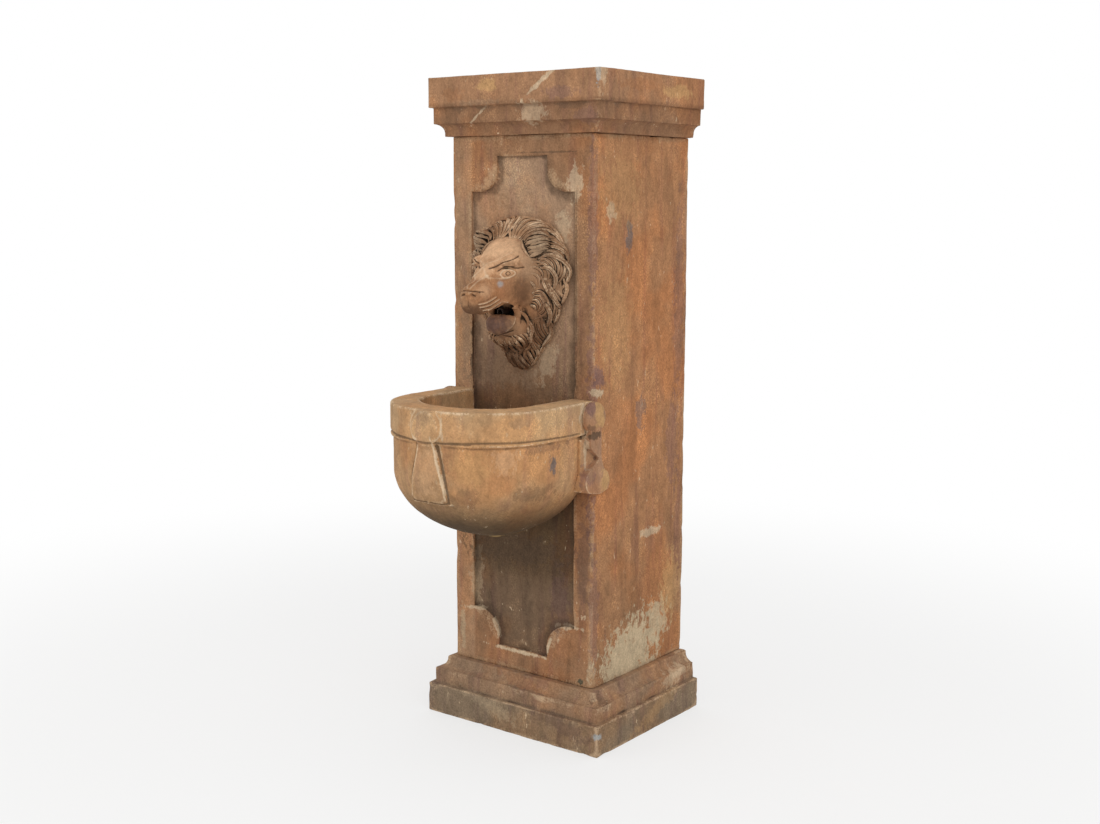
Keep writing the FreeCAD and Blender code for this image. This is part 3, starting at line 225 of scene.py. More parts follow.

# Each stain, and each painted shadow among them: the pixel of the photograph it is seen at, its width and
# height in pixels, its colour, its strength and, for a turned one, its turn clockwise in degrees
stoneStainsAndShadows = {
    "column_stone": [
        (593, 225, 15, 150, "purple", 0.5), (591, 430, 13, 210, "purple", 0.55),
        (594, 610, 12, 130, "purple", 0.45), (679, 300, 10, 190, "purple", 0.4),
        (677, 540, 8, 150, "purple", 0.3), (629, 237, 8, 30, "grey", 0.75), (640, 412, 9, 40, "grey", 0.5),
        (600, 380, 11, 22, "purple", 0.8), (598, 393, 14, 8, "cream", 0.8), (650, 531, 22, 9, "cream", 0.7),
        (610, 211, 9, 24, "cream", 0.6), (630, 655, 56, 62, "beige", 1.0, -20),
        (656, 622, 24, 44, "beige", 0.8, -20), (612, 676, 16, 24, "beige", 0.8),
        (670, 585, 18, 64, "gold", 0.5), (672, 440, 12, 90, "purple", 0.4),
        (620, 190, 44, 70, "gold", 0.25), (617, 330, 30, 120, "gold", 0.25),
        (612, 470, 20, 110, "rust", 0.35), (640, 300, 30, 110, "rust", 0.25),
        (575, 182, 16, 34, "cream", 0.6, 10), (562, 230, 18, 38, "cream", 0.5, 20),
        (547, 360, 18, 44, "cream", 0.45, 20), (521, 652, 52, 4, "cream", 0.85),
        (476, 607, 24, 4, "cream", 0.7, -6), (495, 624, 4, 26, "cream", 0.7, -25),
        (549, 644, 3, 24, "cream", 0.85, 15), (565, 627, 26, 4, "cream", 0.75, -4),
        (463, 625, 5, 40, "beige", 0.5), (560, 600, 18, 70, "mauve", 0.5), (478, 575, 14, 70, "beige", 0.3),
        # the dark marks at (515, 548), (473.4, 348), (576, 300) and (546, 152) are painted shade: the bowl's
        # shadow on the sunk panel and the shade along the panel's edges and top
        (515, 548, 100, 36, "dark", 0.6), (581, 682, 6, 6, "green", 0.85), (466, 330, 8, 110, "tan", 0.5),
        (473.4, 348, 1.6, 90, "dark", 0.9), (576, 300, 2.4, 200, "dark", 0.5),
        (546, 152, 70, 2, "dark", 0.5), (583, 560, 14, 90, "mauve", 0.4), (512, 200, 30, 50, "beige", 0.15),
        (500, 372, 60, 30, "tan", 0.5), (590, 672, 8, 26, "beige", 0.4)],
    "cap_stone": [
        (543, 79, 46, 5, "cream", 0.75, -35), (487, 86, 20, 13, "gold", 0.6),
        (476, 117, 34, 3, "cream", 0.65, -38), (532, 112, 26, 24, "cream", 0.45),
        (598, 72, 4, 15, "blue", 0.6), (603, 72, 14, 12, "cream", 0.45), (678, 92, 28, 15, "gold", 0.6),
        (640, 84, 40, 12, "rust", 0.4), (560, 92, 34, 12, "purple", 0.4), (452, 95, 22, 16, "rust", 0.3),
        (585, 118, 26, 22, "purple", 0.35), (480, 102, 50, 6, "tan", 0.4)],
    "base_stone": [
        (676, 674, 26, 22, "cream", 0.5, -20), (599, 737, 7, 8, "blue", 0.6),
        (470, 665, 36, 14, "tan", 0.7), (520, 682, 70, 14, "rust", 0.3, 14),
        (640, 695, 60, 10, "tan", 0.6, -20), (560, 725, 60, 18, "mauve", 0.4, 14),
        (490, 706, 60, 16, "beige", 0.25, 14), (660, 705, 60, 14, "gold", 0.25, -20),
        (600, 700, 14, 20, "dark", 0.4)],
    "bowl_stone": [
        (553, 466, 7, 18, "grey", 0.85), (540, 449, 60, 9, "mauve", 0.35),
        (439, 472, 54, 3, "cream", 0.8, 75), (443, 470, 54, 3, "cream", 0.6, 82),
        (441, 428, 3, 26, "cream", 0.6), (500, 485, 60, 26, "rust", 0.3), (424, 472, 28, 50, "peach", 0.25),
        (520, 424, 60, 10, "tan", 0.35), (470, 470, 50, 34, "gold", 0.3),
        # the dark marks at (592, 428) and (594, 436) are painted shadow under the console's roll, (415, 512)
        # is painted shadow under the strap's foot, and (466, 500) and (530, 495) darken the lower bowl,
        # partly as painted shade
        (592, 406, 16, 14, "purple", 0.75), (592, 428, 12, 6, "dark", 0.5), (590, 470, 8, 22, "gold", 0.6),
        (583, 412, 2.4, 34, "cream", 0.8), (585, 450, 2.4, 50, "cream", 0.7),
        (600, 414, 10, 34, "gold", 0.75), (605, 480, 9, 26, "gold", 0.75), (594, 436, 16, 9, "dark", 0.8),
        (590, 476, 16, 22, "purple", 0.5), (505, 462, 44, 26, "peach", 0.35),
        (466, 500, 60, 18, "dark", 0.3), (530, 495, 60, 16, "dark", 0.35),
        (415, 512, 40, 14, "dark", 0.6, 30), (420, 415, 20, 16, "tan", 0.3)],
    "lion_stone": [
        (499, 248, 46, 34, "peach", 1.0), (514, 250, 22, 24, "peach", 0.8),
        (484, 272, 16, 22, "peach", 0.8, 30), (467, 285, 16, 12, "peach", 0.6),
        (500, 284, 7, 8, "blue", 0.6), (505, 272, 17, 9, "peach", 0.5), (522, 290, 26, 30, "umber", 0.8),
        (530, 270, 18, 20, "tan", 0.4), (497, 292, 22, 18, "rust", 0.35),
        (474, 312, 30, 9, "umber", 0.9, 10), (499, 327, 40, 30, "mauve", 0.9),
        # the umber over the beard at (514, 358) is painted shade
        (514, 358, 62, 48, "umber", 0.85), (538, 245, 30, 26, "cream", 0.6),
        (480, 236, 26, 44, "umber", 0.5, 20), (540, 330, 34, 44, "umber", 0.6),
        # the near-black mark at (502, 311) is painted shade inside the mouth
        (556, 280, 30, 60, "umber", 0.35), (502, 311, 16, 11, "holeShade", 1.0),
        (484, 290, 20, 16, "peach", 0.5, 20)]}

# for each stain and painted shadow: its longest reach for each pixel, its least depth, its depth beside its
# width, and how its edge fades
stainAndShadowLook = {"longest": 2.2 * mm, "thinnest": 12 * mm, "depthShare": 0.8, "fade": (1.12, 0.72)}

# The patterns of the stone: how the coordinates are stretched, turned and shifted, and the noise's scale,
# detail, roughness and warp
stonePatterns = {
    "wide": {"noise": (5, 4, 0.55)},
    "cloud": {"stretch": (1, 1, 0.6), "turn": (0.3, 0.1, 0.8), "noise": (22, 7, 0.62, 0.3)},
    "grain": {"noise": (230, 4, 0.72)},
    "dots": {"stretch": (1, 1, 0.75), "shift": (0.4, 0.7, 0.1), "noise": (380, 2, 0.6)},
    "streaks": {"stretch": (42, 42, 4), "noise": (1.0, 6, 0.62, 0.35)},
    "drifts": {"stretch": (24, 24, 6), "shift": (4.1, 1.7, 0.3), "noise": (1.0, 6, 0.62, 0.3)},
    "mottle": {"stretch": (1, 1, 0.8), "shift": (0.3, 1.9, 0.7), "noise": (75, 5, 0.65, 0.3)},
    "flecks": {"stretch": (130, 130, 62), "shift": (1.2, 0.6, 2.2), "noise": (1.0, 3, 0.55)},
    "torn": {"stretch": (1, 1, 0.7), "shift": (2.2, 0.1, 1.4), "noise": (70, 9, 0.72, 0.4)}}

# where each mark of the weather starts and is full, in the values of its pattern
stoneSpans = {"warm": (0.45, 0.6), "purple": (0.50, 0.66), "dark": (0.48, 0.36), "goldDots": (0.50, 0.60),
              "goldPatch": (0.49, 0.60), "fleck": (0.66, 0.70), "fleckPatch": (0.50, 0.58),
              "ridge": (0.35, 0.95), "ridgePatch": (0.44, 0.54), "shut": (0.3, 0.95),
              "raisedLine": (-0.2, -0.9), "cutLine": (0.25, 0.9)}

# how much of each pattern goes into the marks, the shade and the relief
stoneShares = {"dark": 0.8, "goldDrift": 0.6, "goldCloud": 0.4, "ridgeGrain": 0.5, "ridgeCloud": 0.5,
               "lineGrain": 0.5, "line": 0.55, "cutLine": 0.8, "ragged": 4.2}
stoneShade = {"grain": 1.1, "dots": 0.7, "cloud": 0.6, "mottle": 0.8}
stoneHeight = {"grain": 0.5, "dots": 0.15, "cloud": 0.6, "mottle": 0.4, "streaks": 0.3, "depth": 1.6 * mm}
stoneRoughness = {"even": 0.88, "top": 0.95, "grain": 0.14}


def throwOn(skin, across, down):
    # the place and the normal where a pixel's line of sight meets a skin
    start, sight = photoRay(photoView, camera, across, down)
    place, normal, index, reach = skin.ray_cast(start, sight)
    if place is None:
        place, normal, index, reach = skin.find_nearest(start - sight * (start.y / sight.y))
    return place, normal


def addStainsAndShadows(place, colour, look, rows, ragged):
    # lays stains and painted shadows on a colour, each an ellipsoid with a broken edge
    corners, sides = [], []
    for name in look["nodes"]:
        mesh = nodes[name].data
        sides += [[i + len(corners) for i in face.vertices] for face in mesh.polygons]
        corners += [vert.co for vert in mesh.vertices]
    skin = BVHTree.FromPolygons(corners, sides)
    for across, down, width, height, stain, strength, *turned in rows:
        centre, normal = throwOn(skin, across, down)
        spread = []
        for size, step in ((width, (0.5, 0)), (height, (0, 0.5))):
            ends = [throwOn(skin, across + step[0] * size * way, down + step[1] * size * way)[0]
                    for way in (-1, 1)]
            spread.append(min((ends[1] - ends[0]).length / 2, size * stainAndShadowLook["longest"]))
        depth = max(stainAndShadowLook["thinnest"], min(spread) * stainAndShadowLook["depthShare"])
        turn = math.radians(sum(turned))
        radii, turns = (spread[0], depth, spread[1]), (0, turn, 0)
        if abs(normal.x) > abs(normal.y):
            radii, turns = (depth, *spread), (-turn, 0, 0)
        if look.get("mirror"):
            centre = Vector((abs(centre.x), centre.y, centre.z))
        moved = place.add("ShaderNodeMapping", {"vector_type": "TEXTURE"},
                          {0: place, 1: centre, 2: turns, 3: radii})
        gap = place.add("ShaderNodeVectorMath", {"operation": "LENGTH"}, {0: moved}, 1)
        fade = look.get("fade", stainAndShadowLook["fade"])
        colour = colour.blend(stainAndShadowTones[stain], (gap + ragged).between(*fade) * strength)
    return colour


def patterned(place, row):
    # a noise over the coordinates, which the row may stretch, turn and shift first
    if "stretch" in row:
        place = place.stretched(row["stretch"], row.get("turn", (0, 0, 0)), row.get("shift", (0, 0, 0)))
    return place.clouds(*row["noise"])


def stoneFinish(name, look):
    place, shader = newFinish(name, stoneRoughness["even"], Specular_IOR_Level=0.2)
    wide, cloud, grain, dots, streaks, drifts, mottle, flecks, torn = [
        patterned(place, row) for row in stonePatterns.values()]
    hollow, proud, groove = place.mark("hollow"), place.mark("proud"), place.mark("groove")
    spans, shares = stoneSpans, stoneShares
    axes = {"left": place.axis(0), "y": place.axis(1), "z": place.axis(2)}
    axes["x"] = place.maths("ABSOLUTE", axes["left"])
    mirrored = place
    if look.get("mirror"):
        mirrored = place.add("ShaderNodeCombineXYZ", None, {0: axes["x"], 1: axes["y"], 2: axes["z"]})

    colour = colourOf(place, look["base"])
    for tone, borders in look["zones"]:
        mask = None
        for axis, low, high in borders:
            span = axes[axis].between(low * mm, high * mm)
            mask = span if mask is None else mask * span
        colour = colour.blend(tone, mask)
    purple = streaks.between(*spans["purple"]) * look["streak"]
    dark = drifts.between(*spans["dark"]) * look["streak"] * shares["dark"]
    goldPatch = (drifts * shares["goldDrift"] + cloud * shares["goldCloud"]).between(*spans["goldPatch"])
    gold = dots.between(*spans["goldDots"]) * goldPatch * look["gold"]
    masks = {"warm": wide.between(*spans["warm"]), "purple": purple, "dark": dark, "gold": gold}
    for tint, mask in masks.items():
        colour = colour.blend(weather[tint], mask, "MULTIPLY")
    fleck = flecks.between(*spans["fleck"]) * cloud.between(*spans["fleckPatch"]) * look["cream"]
    colour = colour.blend(weather["cream"], fleck)
    ridgePatch = (grain * shares["ridgeGrain"] + cloud * shares["ridgeCloud"]).between(*spans["ridgePatch"])
    worn = proud.between(*spans["ridge"]) * ridgePatch * look["edge"]
    colour = colour.blend(look["proud"], worn.clamped())
    ragged = (torn - 0.5) * look.get("ragged", shares["ragged"])
    colour = addStainsAndShadows(mirrored, colour, look, stoneStainsAndShadows[name], ragged)
    # painted highlight: the raised carved lines take the light colour of the worn ridges
    raisedLine = groove.between(*spans["raisedLine"]) * (grain * shares["lineGrain"] + shares["line"])
    colour = colour.blend(look["proud"], raisedLine * look["edge"])
    # painted shade: the dark hollow colour goes into the cut lines, into the hollows, and on the lion where
    # its skin is closed in
    shut = hollow.between(*look.get("shut", spans["shut"])) * look["edge"]
    cutLine = groove.between(*spans["cutLine"]) * shares["cutLine"]
    colour = colour.blend(look["hollow"], place.maths("MAXIMUM", shut, cutLine))

    fine = (grain - 0.5) * stoneShade["grain"] + (dots - 0.5) * stoneShade["dots"]
    coarse = (cloud - 0.5) * stoneShade["cloud"]
    shade = fine * look["grain"] + coarse + (mottle - 0.5) * stoneShade["mottle"] + 1.0
    grey = place.add("ShaderNodeCombineColor", None, {0: shade, 1: shade, 2: shade})
    colour = colour.blend(grey, 1.0, "MULTIPLY")
    pits = (grain * stoneHeight["grain"] + dots * stoneHeight["dots"]) * look["grain"]
    height = (cloud * stoneHeight["cloud"] + mottle * stoneHeight["mottle"] + pits
              + streaks * stoneHeight["streaks"])
    roughness = stoneRoughness["top"] - grain * stoneRoughness["grain"]
    finishWith(place, shader, colour, height, roughness, stoneHeight["depth"])


for slotName, look in stoneLooks.items():
    stoneFinish(slotName, look)
print("stage: stone finishes")

# Metals, rubber and plastics of the fittings: grain stretches a fine pattern, relief is its depth in mm
fittingLooks = {
    "stainless_steel": {
        "colour": (0.55, 0.55, 0.54), "worn": (0.38, 0.37, 0.35), "metal": 1.0, "rough": 0.32,
        "grain": (900, 40, 900), "relief": 0.05},
    "brass": {
        "colour": (0.26, 0.17, 0.075), "worn": (0.10, 0.075, 0.042), "metal": 1.0, "rough": 0.36,
        "grain": (120, 120, 120), "relief": 0.08},
    # the copper pipe sits deep in the lion's mouth: its near-black colour is dark tarnish and painted shade
    # of the mouth
    "copper": {
        "colour": (0.040, 0.022, 0.014), "worn": (0.018, 0.022, 0.017), "metal": 0.5, "rough": 0.65,
        "grain": (90, 20, 90), "relief": 0.08},
    "black_rubber": {
        "colour": (0.022, 0.022, 0.023), "worn": (0.05, 0.05, 0.048), "rough": 0.75,
        "grain": (500, 500, 500), "relief": 0.10},
    "plug_rubber": {
        "colour": (0.035, 0.034, 0.033), "worn": (0.09, 0.085, 0.075), "rough": 0.65,
        "grain": (420, 420, 420), "relief": 0.10},
    "hose_plastic": {
        "colour": (0.06, 0.075, 0.06), "worn": (0.12, 0.13, 0.11), "rough": 0.28,
        "grain": (260, 260, 40), "relief": 0.05},
    "pump_plastic": {
        "colour": (0.016, 0.017, 0.02), "worn": (0.05, 0.05, 0.05), "rough": 0.45,
        "grain": (700, 700, 700), "relief": 0.08},
    "dial_plastic": {
        "colour": (0.05, 0.055, 0.065), "worn": (0.10, 0.10, 0.10), "rough": 0.4,
        "grain": (600, 600, 600), "relief": 0.06},
    "rotor_plastic": {
        "colour": (0.17, 0.17, 0.18), "worn": (0.09, 0.09, 0.09), "rough": 0.35,
        "grain": (300, 300, 300), "relief": 0.05},
    "shaft_ceramic": {
        "colour": (0.75, 0.73, 0.68), "worn": (0.58, 0.55, 0.50), "rough": 0.18,
        "grain": (300, 60, 300), "relief": 0.03}}
fittingMix = {"grain": (1.0, 4, 0.6), "stain": (55, 7, 0.6, 0.5), "worn": (0.45, 0.68), "wornShare": 0.8,
              "stainRough": 0.3, "grainRough": 0.2, "stainHeight": 0.6}


def fittingFinish(name, look, mix):
    place, shader = newFinish(name, look["rough"], Metallic=look.get("metal", 0.0))
    grain = place.stretched(look["grain"]).clouds(*mix["grain"])
    stain = place.clouds(*mix["stain"])
    worn = stain.between(*mix["worn"]) * mix["wornShare"]
    colour = colourOf(place, look["colour"]).blend(look["worn"], worn)
    rough = look["rough"] + (stain - 0.5) * mix["stainRough"] + (grain - 0.5) * mix["grainRough"]
    height = grain + stain * mix["stainHeight"]
    finishWith(place, shader, colour, height, rough.clamped(), look["relief"] * mm)


for slotName, look in fittingLooks.items():
    fittingFinish(slotName, look, fittingMix)

for row in frame["record"]["subparts"]:
    node = nodes[row["node"]]
    node.data.materials.clear()
    node.data.materials.append(finishes[row["material_slot"]])
    for face in node.data.polygons:
        face.material_index = 0
print("stage: fitting finishes")


# Shared ways of working stone: angles are in degrees, and a pitch is a noise's turns to the metre
wearLook = {"join": 0.01 * mm, "cut": 0.05 * mm, "flatAngle": 0.4, "arrisAngle": 30, "shortest": 9 * mm,
            "wavePitch": 8, "ripplePitch": 45, "chipAngle": 20, "chipPitch": 26, "chipShift": 3.1,
            "crumbPitch": 90, "crumbShare": 0.5, "chipFrom": 0.22}


def nodeCopy(name):
    bm = bmesh.new()
    bm.from_mesh(nodes[name].data)
    bmesh.ops.remove_doubles(bm, verts=bm.verts[:], dist=wearLook["join"])
    return bm


def objectFrom(bm, name):
    mesh = bpy.data.meshes.new(name)
    bm.to_mesh(mesh)
    bm.free()
    made = bpy.data.objects.new(name, mesh)
    bpy.context.scene.collection.objects.link(made)
    return made


def pieceFrom(bm, name, slotName, body="fountain", smooth=40):
    piece = objectFrom(bm, name)
    mesh = piece.data
    for face in mesh.polygons:
        face.use_smooth = True
    if smooth:
        mesh.set_sharp_from_angle(angle=math.radians(smooth))
    mesh.materials.append(finishes[slotName])
    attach(piece, body)
    return piece


def softenArrises(bm, width):
    # rounds the long sharp edges and leaves the small holes alone
    bmesh.ops.dissolve_limit(bm, angle_limit=math.radians(wearLook["flatAngle"]), verts=bm.verts[:],
                             edges=bm.edges[:], use_dissolve_boundaries=False, delimit=set())
    sharp = [edge for edge in bm.edges if edge.is_manifold and edge.calc_length() > wearLook["shortest"]
             and edge.calc_face_angle() > math.radians(wearLook["arrisAngle"])]
    bmesh.ops.bevel(bm, geom=sharp, offset=width, affect="EDGES", segments=2, profile=0.5, material=-1,
                    clamp_overlap=False)


def slicePiece(bm, pitch):
    # cuts the piece by planes, so that its faces are small enough to wear
    for axis in range(3):
        low = min(vert.co[axis] for vert in bm.verts)
        high = max(vert.co[axis] for vert in bm.verts)
        count = max(1, round((high - low) / pitch))
        normal = Vector([1.0 if i == axis else 0.0 for i in range(3)])
        for i in range(1, count):
            bmesh.ops.bisect_plane(bm, geom=bm.verts[:] + bm.edges[:] + bm.faces[:], dist=wearLook["cut"],
                                   plane_co=normal * (low + (high - low) * i / count), plane_no=normal)
    bmesh.ops.triangulate(bm, faces=[face for face in bm.faces if len(face.verts) > 4])
    bm.normal_update()


def roughen(bm, wave, ripple, chip=0.0):
    # lets the faces wander a little, breaks the arrises here and there and keeps all of it above the floor
    shift = Vector((wearLook["chipShift"], 0, 0))
    for vert in bm.verts:
        bend = max((edge.calc_face_angle(0.0) for edge in vert.link_edges), default=0.0)
        move = wave * noise.noise(vert.co * wearLook["wavePitch"])
        move += ripple * noise.noise(vert.co * wearLook["ripplePitch"])
        if chip and bend > math.radians(wearLook["chipAngle"]):
            broken = noise.noise(vert.co * wearLook["chipPitch"] + shift)
            broken += wearLook["crumbShare"] * noise.noise(vert.co * wearLook["crumbPitch"])
            move -= chip * max(0.0, broken - wearLook["chipFrom"])
        vert.co += vert.normal * move
        vert.co.z = max(vert.co.z, 0.0)


def remeshed(bm, name, voxel):
    # one closed skin round everything in the bmesh
    piece = objectFrom(bm, name)
    skin = piece.modifiers.new("skin", "REMESH")
    skin.mode = "VOXEL"
    skin.voxel_size = voxel
    seen = piece.evaluated_get(bpy.context.evaluated_depsgraph_get())
    result = bpy.data.meshes.new_from_object(seen)
    bpy.data.objects.remove(piece)
    made = bmesh.new()
    made.from_mesh(result)
    return made


def neighbourMean(values, first, second, counts):
    # the mean of what the neighbours along the edges hold
    size = len(values)
    sums = [np.bincount(first, column[second], size) + np.bincount(second, column[first], size)
            for column in values.T]
    return np.stack(sums, 1) / counts[:, None]


def markRelief(piece, look):
    # stores how hollow and how proud the skin is at each point
    mesh = piece.data
    count = len(mesh.vertices)
    places = np.empty(count * 3)
    normals = np.empty(count * 3)
    ends = np.empty(len(mesh.edges) * 2, int)
    mesh.vertices.foreach_get("co", places)
    mesh.vertices.foreach_get("normal", normals)
    mesh.edges.foreach_get("vertices", ends)
    places, normals = places.reshape(-1, 3), normals.reshape(-1, 3)
    first, second = ends[0::2], ends[1::2]
    counts = np.maximum(np.bincount(first, minlength=count) + np.bincount(second, minlength=count), 1)
    smooth = places.copy()
    for i in range(look["rounds"]):
        smooth = neighbourMean(smooth, first, second, counts)
    depth = ((smooth - places) * normals).sum(1) / look["reach"]
    depth = neighbourMean(depth[:, None], first, second, counts)[:, 0]
    for name, values in (("hollow", depth), ("proud", -depth)):
        attribute = mesh.attributes.new(name, "FLOAT", "POINT")
        attribute.data.foreach_set("value", np.clip(values, 0, 1).astype(np.float32))


def curveThrough(points, spans):
    # a smooth run through points, with a number of steps between each two
    ends = [points[0] * 2 - points[1]] + points + [points[-1] * 2 - points[-2]]
    run = []
    for i in range(1, len(ends) - 2):
        before, start, end, after = ends[i - 1:i + 3]
        for step in range(spans):
            t = step / spans
            square = before * 2 - start * 5 + end * 4 - after
            cube = start * 3 - before - end * 3 + after
            run.append(start + (end - before) * (0.5 * t) + square * (0.5 * t * t) + cube * (0.5 * t ** 3))
    return run + [points[-1]]


# how many steps a carved line has between two of its points, and how far from it the skin may move
carveLook = {"spans": 7, "margin": 8 * mm}


def carve(bm, lines):
    # presses or raises lines in a skin, on both sides of the middle, and stores where they lie, for painted
    # shade in the cut lines and a painted highlight along the raised ones
    skin = BVHTree.FromBMesh(bm)
    places = np.array([tuple(vert.co) for vert in bm.verts])
    places[:, 0] = np.abs(places[:, 0])
    moves = np.zeros(len(places))
    ink = np.zeros(len(places))
    for line in lines.values():
        for run in line["runs"]:
            points = curveThrough([Vector((across, down, 0)) for across, down in run], carveLook["spans"])
            points = [throwOn(skin, point.x, point.y)[0] for point in points]
            track = np.array([(abs(point.x), point.y, point.z) for point in points])
            low, high = track.min(0) - carveLook["margin"], track.max(0) + carveLook["margin"]
            near = np.flatnonzero(((places > low) & (places < high)).all(1))
            if len(near) == 0:
                continue
            gaps = np.full(len(near), 1.0)
            for start, end in zip(track, track[1:]):
                step = end - start
                t = np.clip(((places[near] - start) @ step) / max(step @ step, 1e-12), 0, 1)
                gaps = np.minimum(gaps, np.linalg.norm(places[near] - start - t[:, None] * step, axis=1))
            share = np.exp(-(gaps / (line["width"] * mm)) ** 2)
            moves[near] -= line["depth"] * mm * share
            ink[near] += line.get("ink", 1.0) * math.copysign(1.0, line["depth"]) * share
    layer = bm.verts.layers.float.new("groove")
    for vert, move, dark in zip(bm.verts, moves, ink):
        vert.co += vert.normal * move
        vert[layer] = min(max(dark, -1.0), 1.0)
    bm.normal_update()


def smoothed(bm, rounds):
    for i in range(rounds):
        bmesh.ops.smooth_vert(bm, verts=bm.verts[:], factor=0.5, use_axis_x=True, use_axis_y=True,
                              use_axis_z=True)
    bm.normal_update()
    return bm


# The base, the column and the cap
blockRelief = {"rounds": 2, "reach": 0.7 * mm}
blockLooks = {
    "plinthStone": {
        "node": "base_plinth", "slot": "base_stone", "arris": 2.2 * mm, "pitch": 9 * mm,
        "wave": 0.9 * mm, "ripple": 0.5 * mm, "chip": 5 * mm},
    "columnStone": {
        "node": "column_shaft", "slot": "column_stone", "arris": 2.2 * mm, "pitch": 13 * mm,
        "wave": 1.0 * mm, "ripple": 0.4 * mm, "chip": 5 * mm},
    "capStone": {
        "node": "cap_stone", "slot": "cap_stone", "arris": 1.6 * mm, "pitch": 9 * mm,
        "wave": 0.8 * mm, "ripple": 0.4 * mm, "chip": 4 * mm}}

for name, look in blockLooks.items():
    bm = nodeCopy(look["node"])
    softenArrises(bm, look["arris"])
    slicePiece(bm, look["pitch"])
    roughen(bm, look["wave"], look["ripple"], look["chip"])
    piece = pieceFrom(bm, name, look["slot"])
    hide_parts(look["node"])
    markRelief(piece, blockRelief)
    print("stage:", name, len(piece.data.polygons), "faces")

# The bowl and the consoles
carvedRelief = {"rounds": 6, "reach": 1.2 * mm}
bowlLooks = {
    "bowlStone": {"node": "bowl", "voxel": 2.8 * mm, "wave": 1.3 * mm, "ripple": 0.5 * mm},
    "consoleStoneRight": {"node": "console_right", "voxel": 1.5 * mm, "wave": 1.0 * mm,
                          "ripple": 0.5 * mm},
    "consoleStoneLeft": {"node": "console_left", "voxel": 1.5 * mm, "wave": 1.0 * mm, "ripple": 0.5 * mm}}

# Each carved line: its half width and depth in mm (below 0 it stands up), and its runs in pixels of the
# photograph
bowlLines = {
    "bandGroove": {"width": 2.6, "depth": 2.6, "runs": [
        [(395, 435), (408, 439), (424, 443), (445, 444), (480, 444), (520, 443), (560, 438), (580, 434)]]},
    "strapEdge": {"width": 2.6, "depth": 2.2, "runs": [
        [(437, 446), (441, 462), (445, 482), (449, 503)]]},
    "strapFoot": {"width": 2.6, "depth": 2.8, "runs": [[(430, 503), (440, 505), (449, 504)]]},
    "strapBevel": {"width": 2.4, "depth": -1.8, "runs": [[(433, 447), (437, 466), (442, 486), (445, 500)]]},
    "medallionRing": {"width": 2.2, "depth": -1.8, "runs": [
        [(436, 414), (440, 421), (441, 430), (438, 438), (432, 443)]]}}

for name, look in bowlLooks.items():
    bm = smoothed(remeshed(nodeCopy(look["node"]), name, look["voxel"]), 1)
    if name == "bowlStone":
        carve(bm, bowlLines)
    roughen(bm, look["wave"], look["ripple"])
    piece = pieceFrom(bm, name, "bowl_stone", smooth=0)
    markRelief(piece, carvedRelief)
    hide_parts(look["node"])
    print("stage:", name, len(piece.data.polygons), "faces")

# The lion's head: its skin is the mask, with the face's lines carved in and locks of hair laid on it.
# Runs are pixels of the photograph; each is thrown along the line of sight onto the mask's right half,
# and the left half is its mirror image.
lionLook = {"voxel": 1.7 * mm, "rounds": 2, "guideVoxel": 4.0 * mm, "guideRounds": 14}
lockLook = {"ringsPerSpan": 5, "strandRidge": 0.22, "rootLength": 0.31, "rootRise": 1.6, "rootShare": 0.45,
            "tipShare": 0.12, "swellPower": 0.7, "bed": -1.5 * mm, "arch": 0.35, "underside": (0.7, 0.5)}

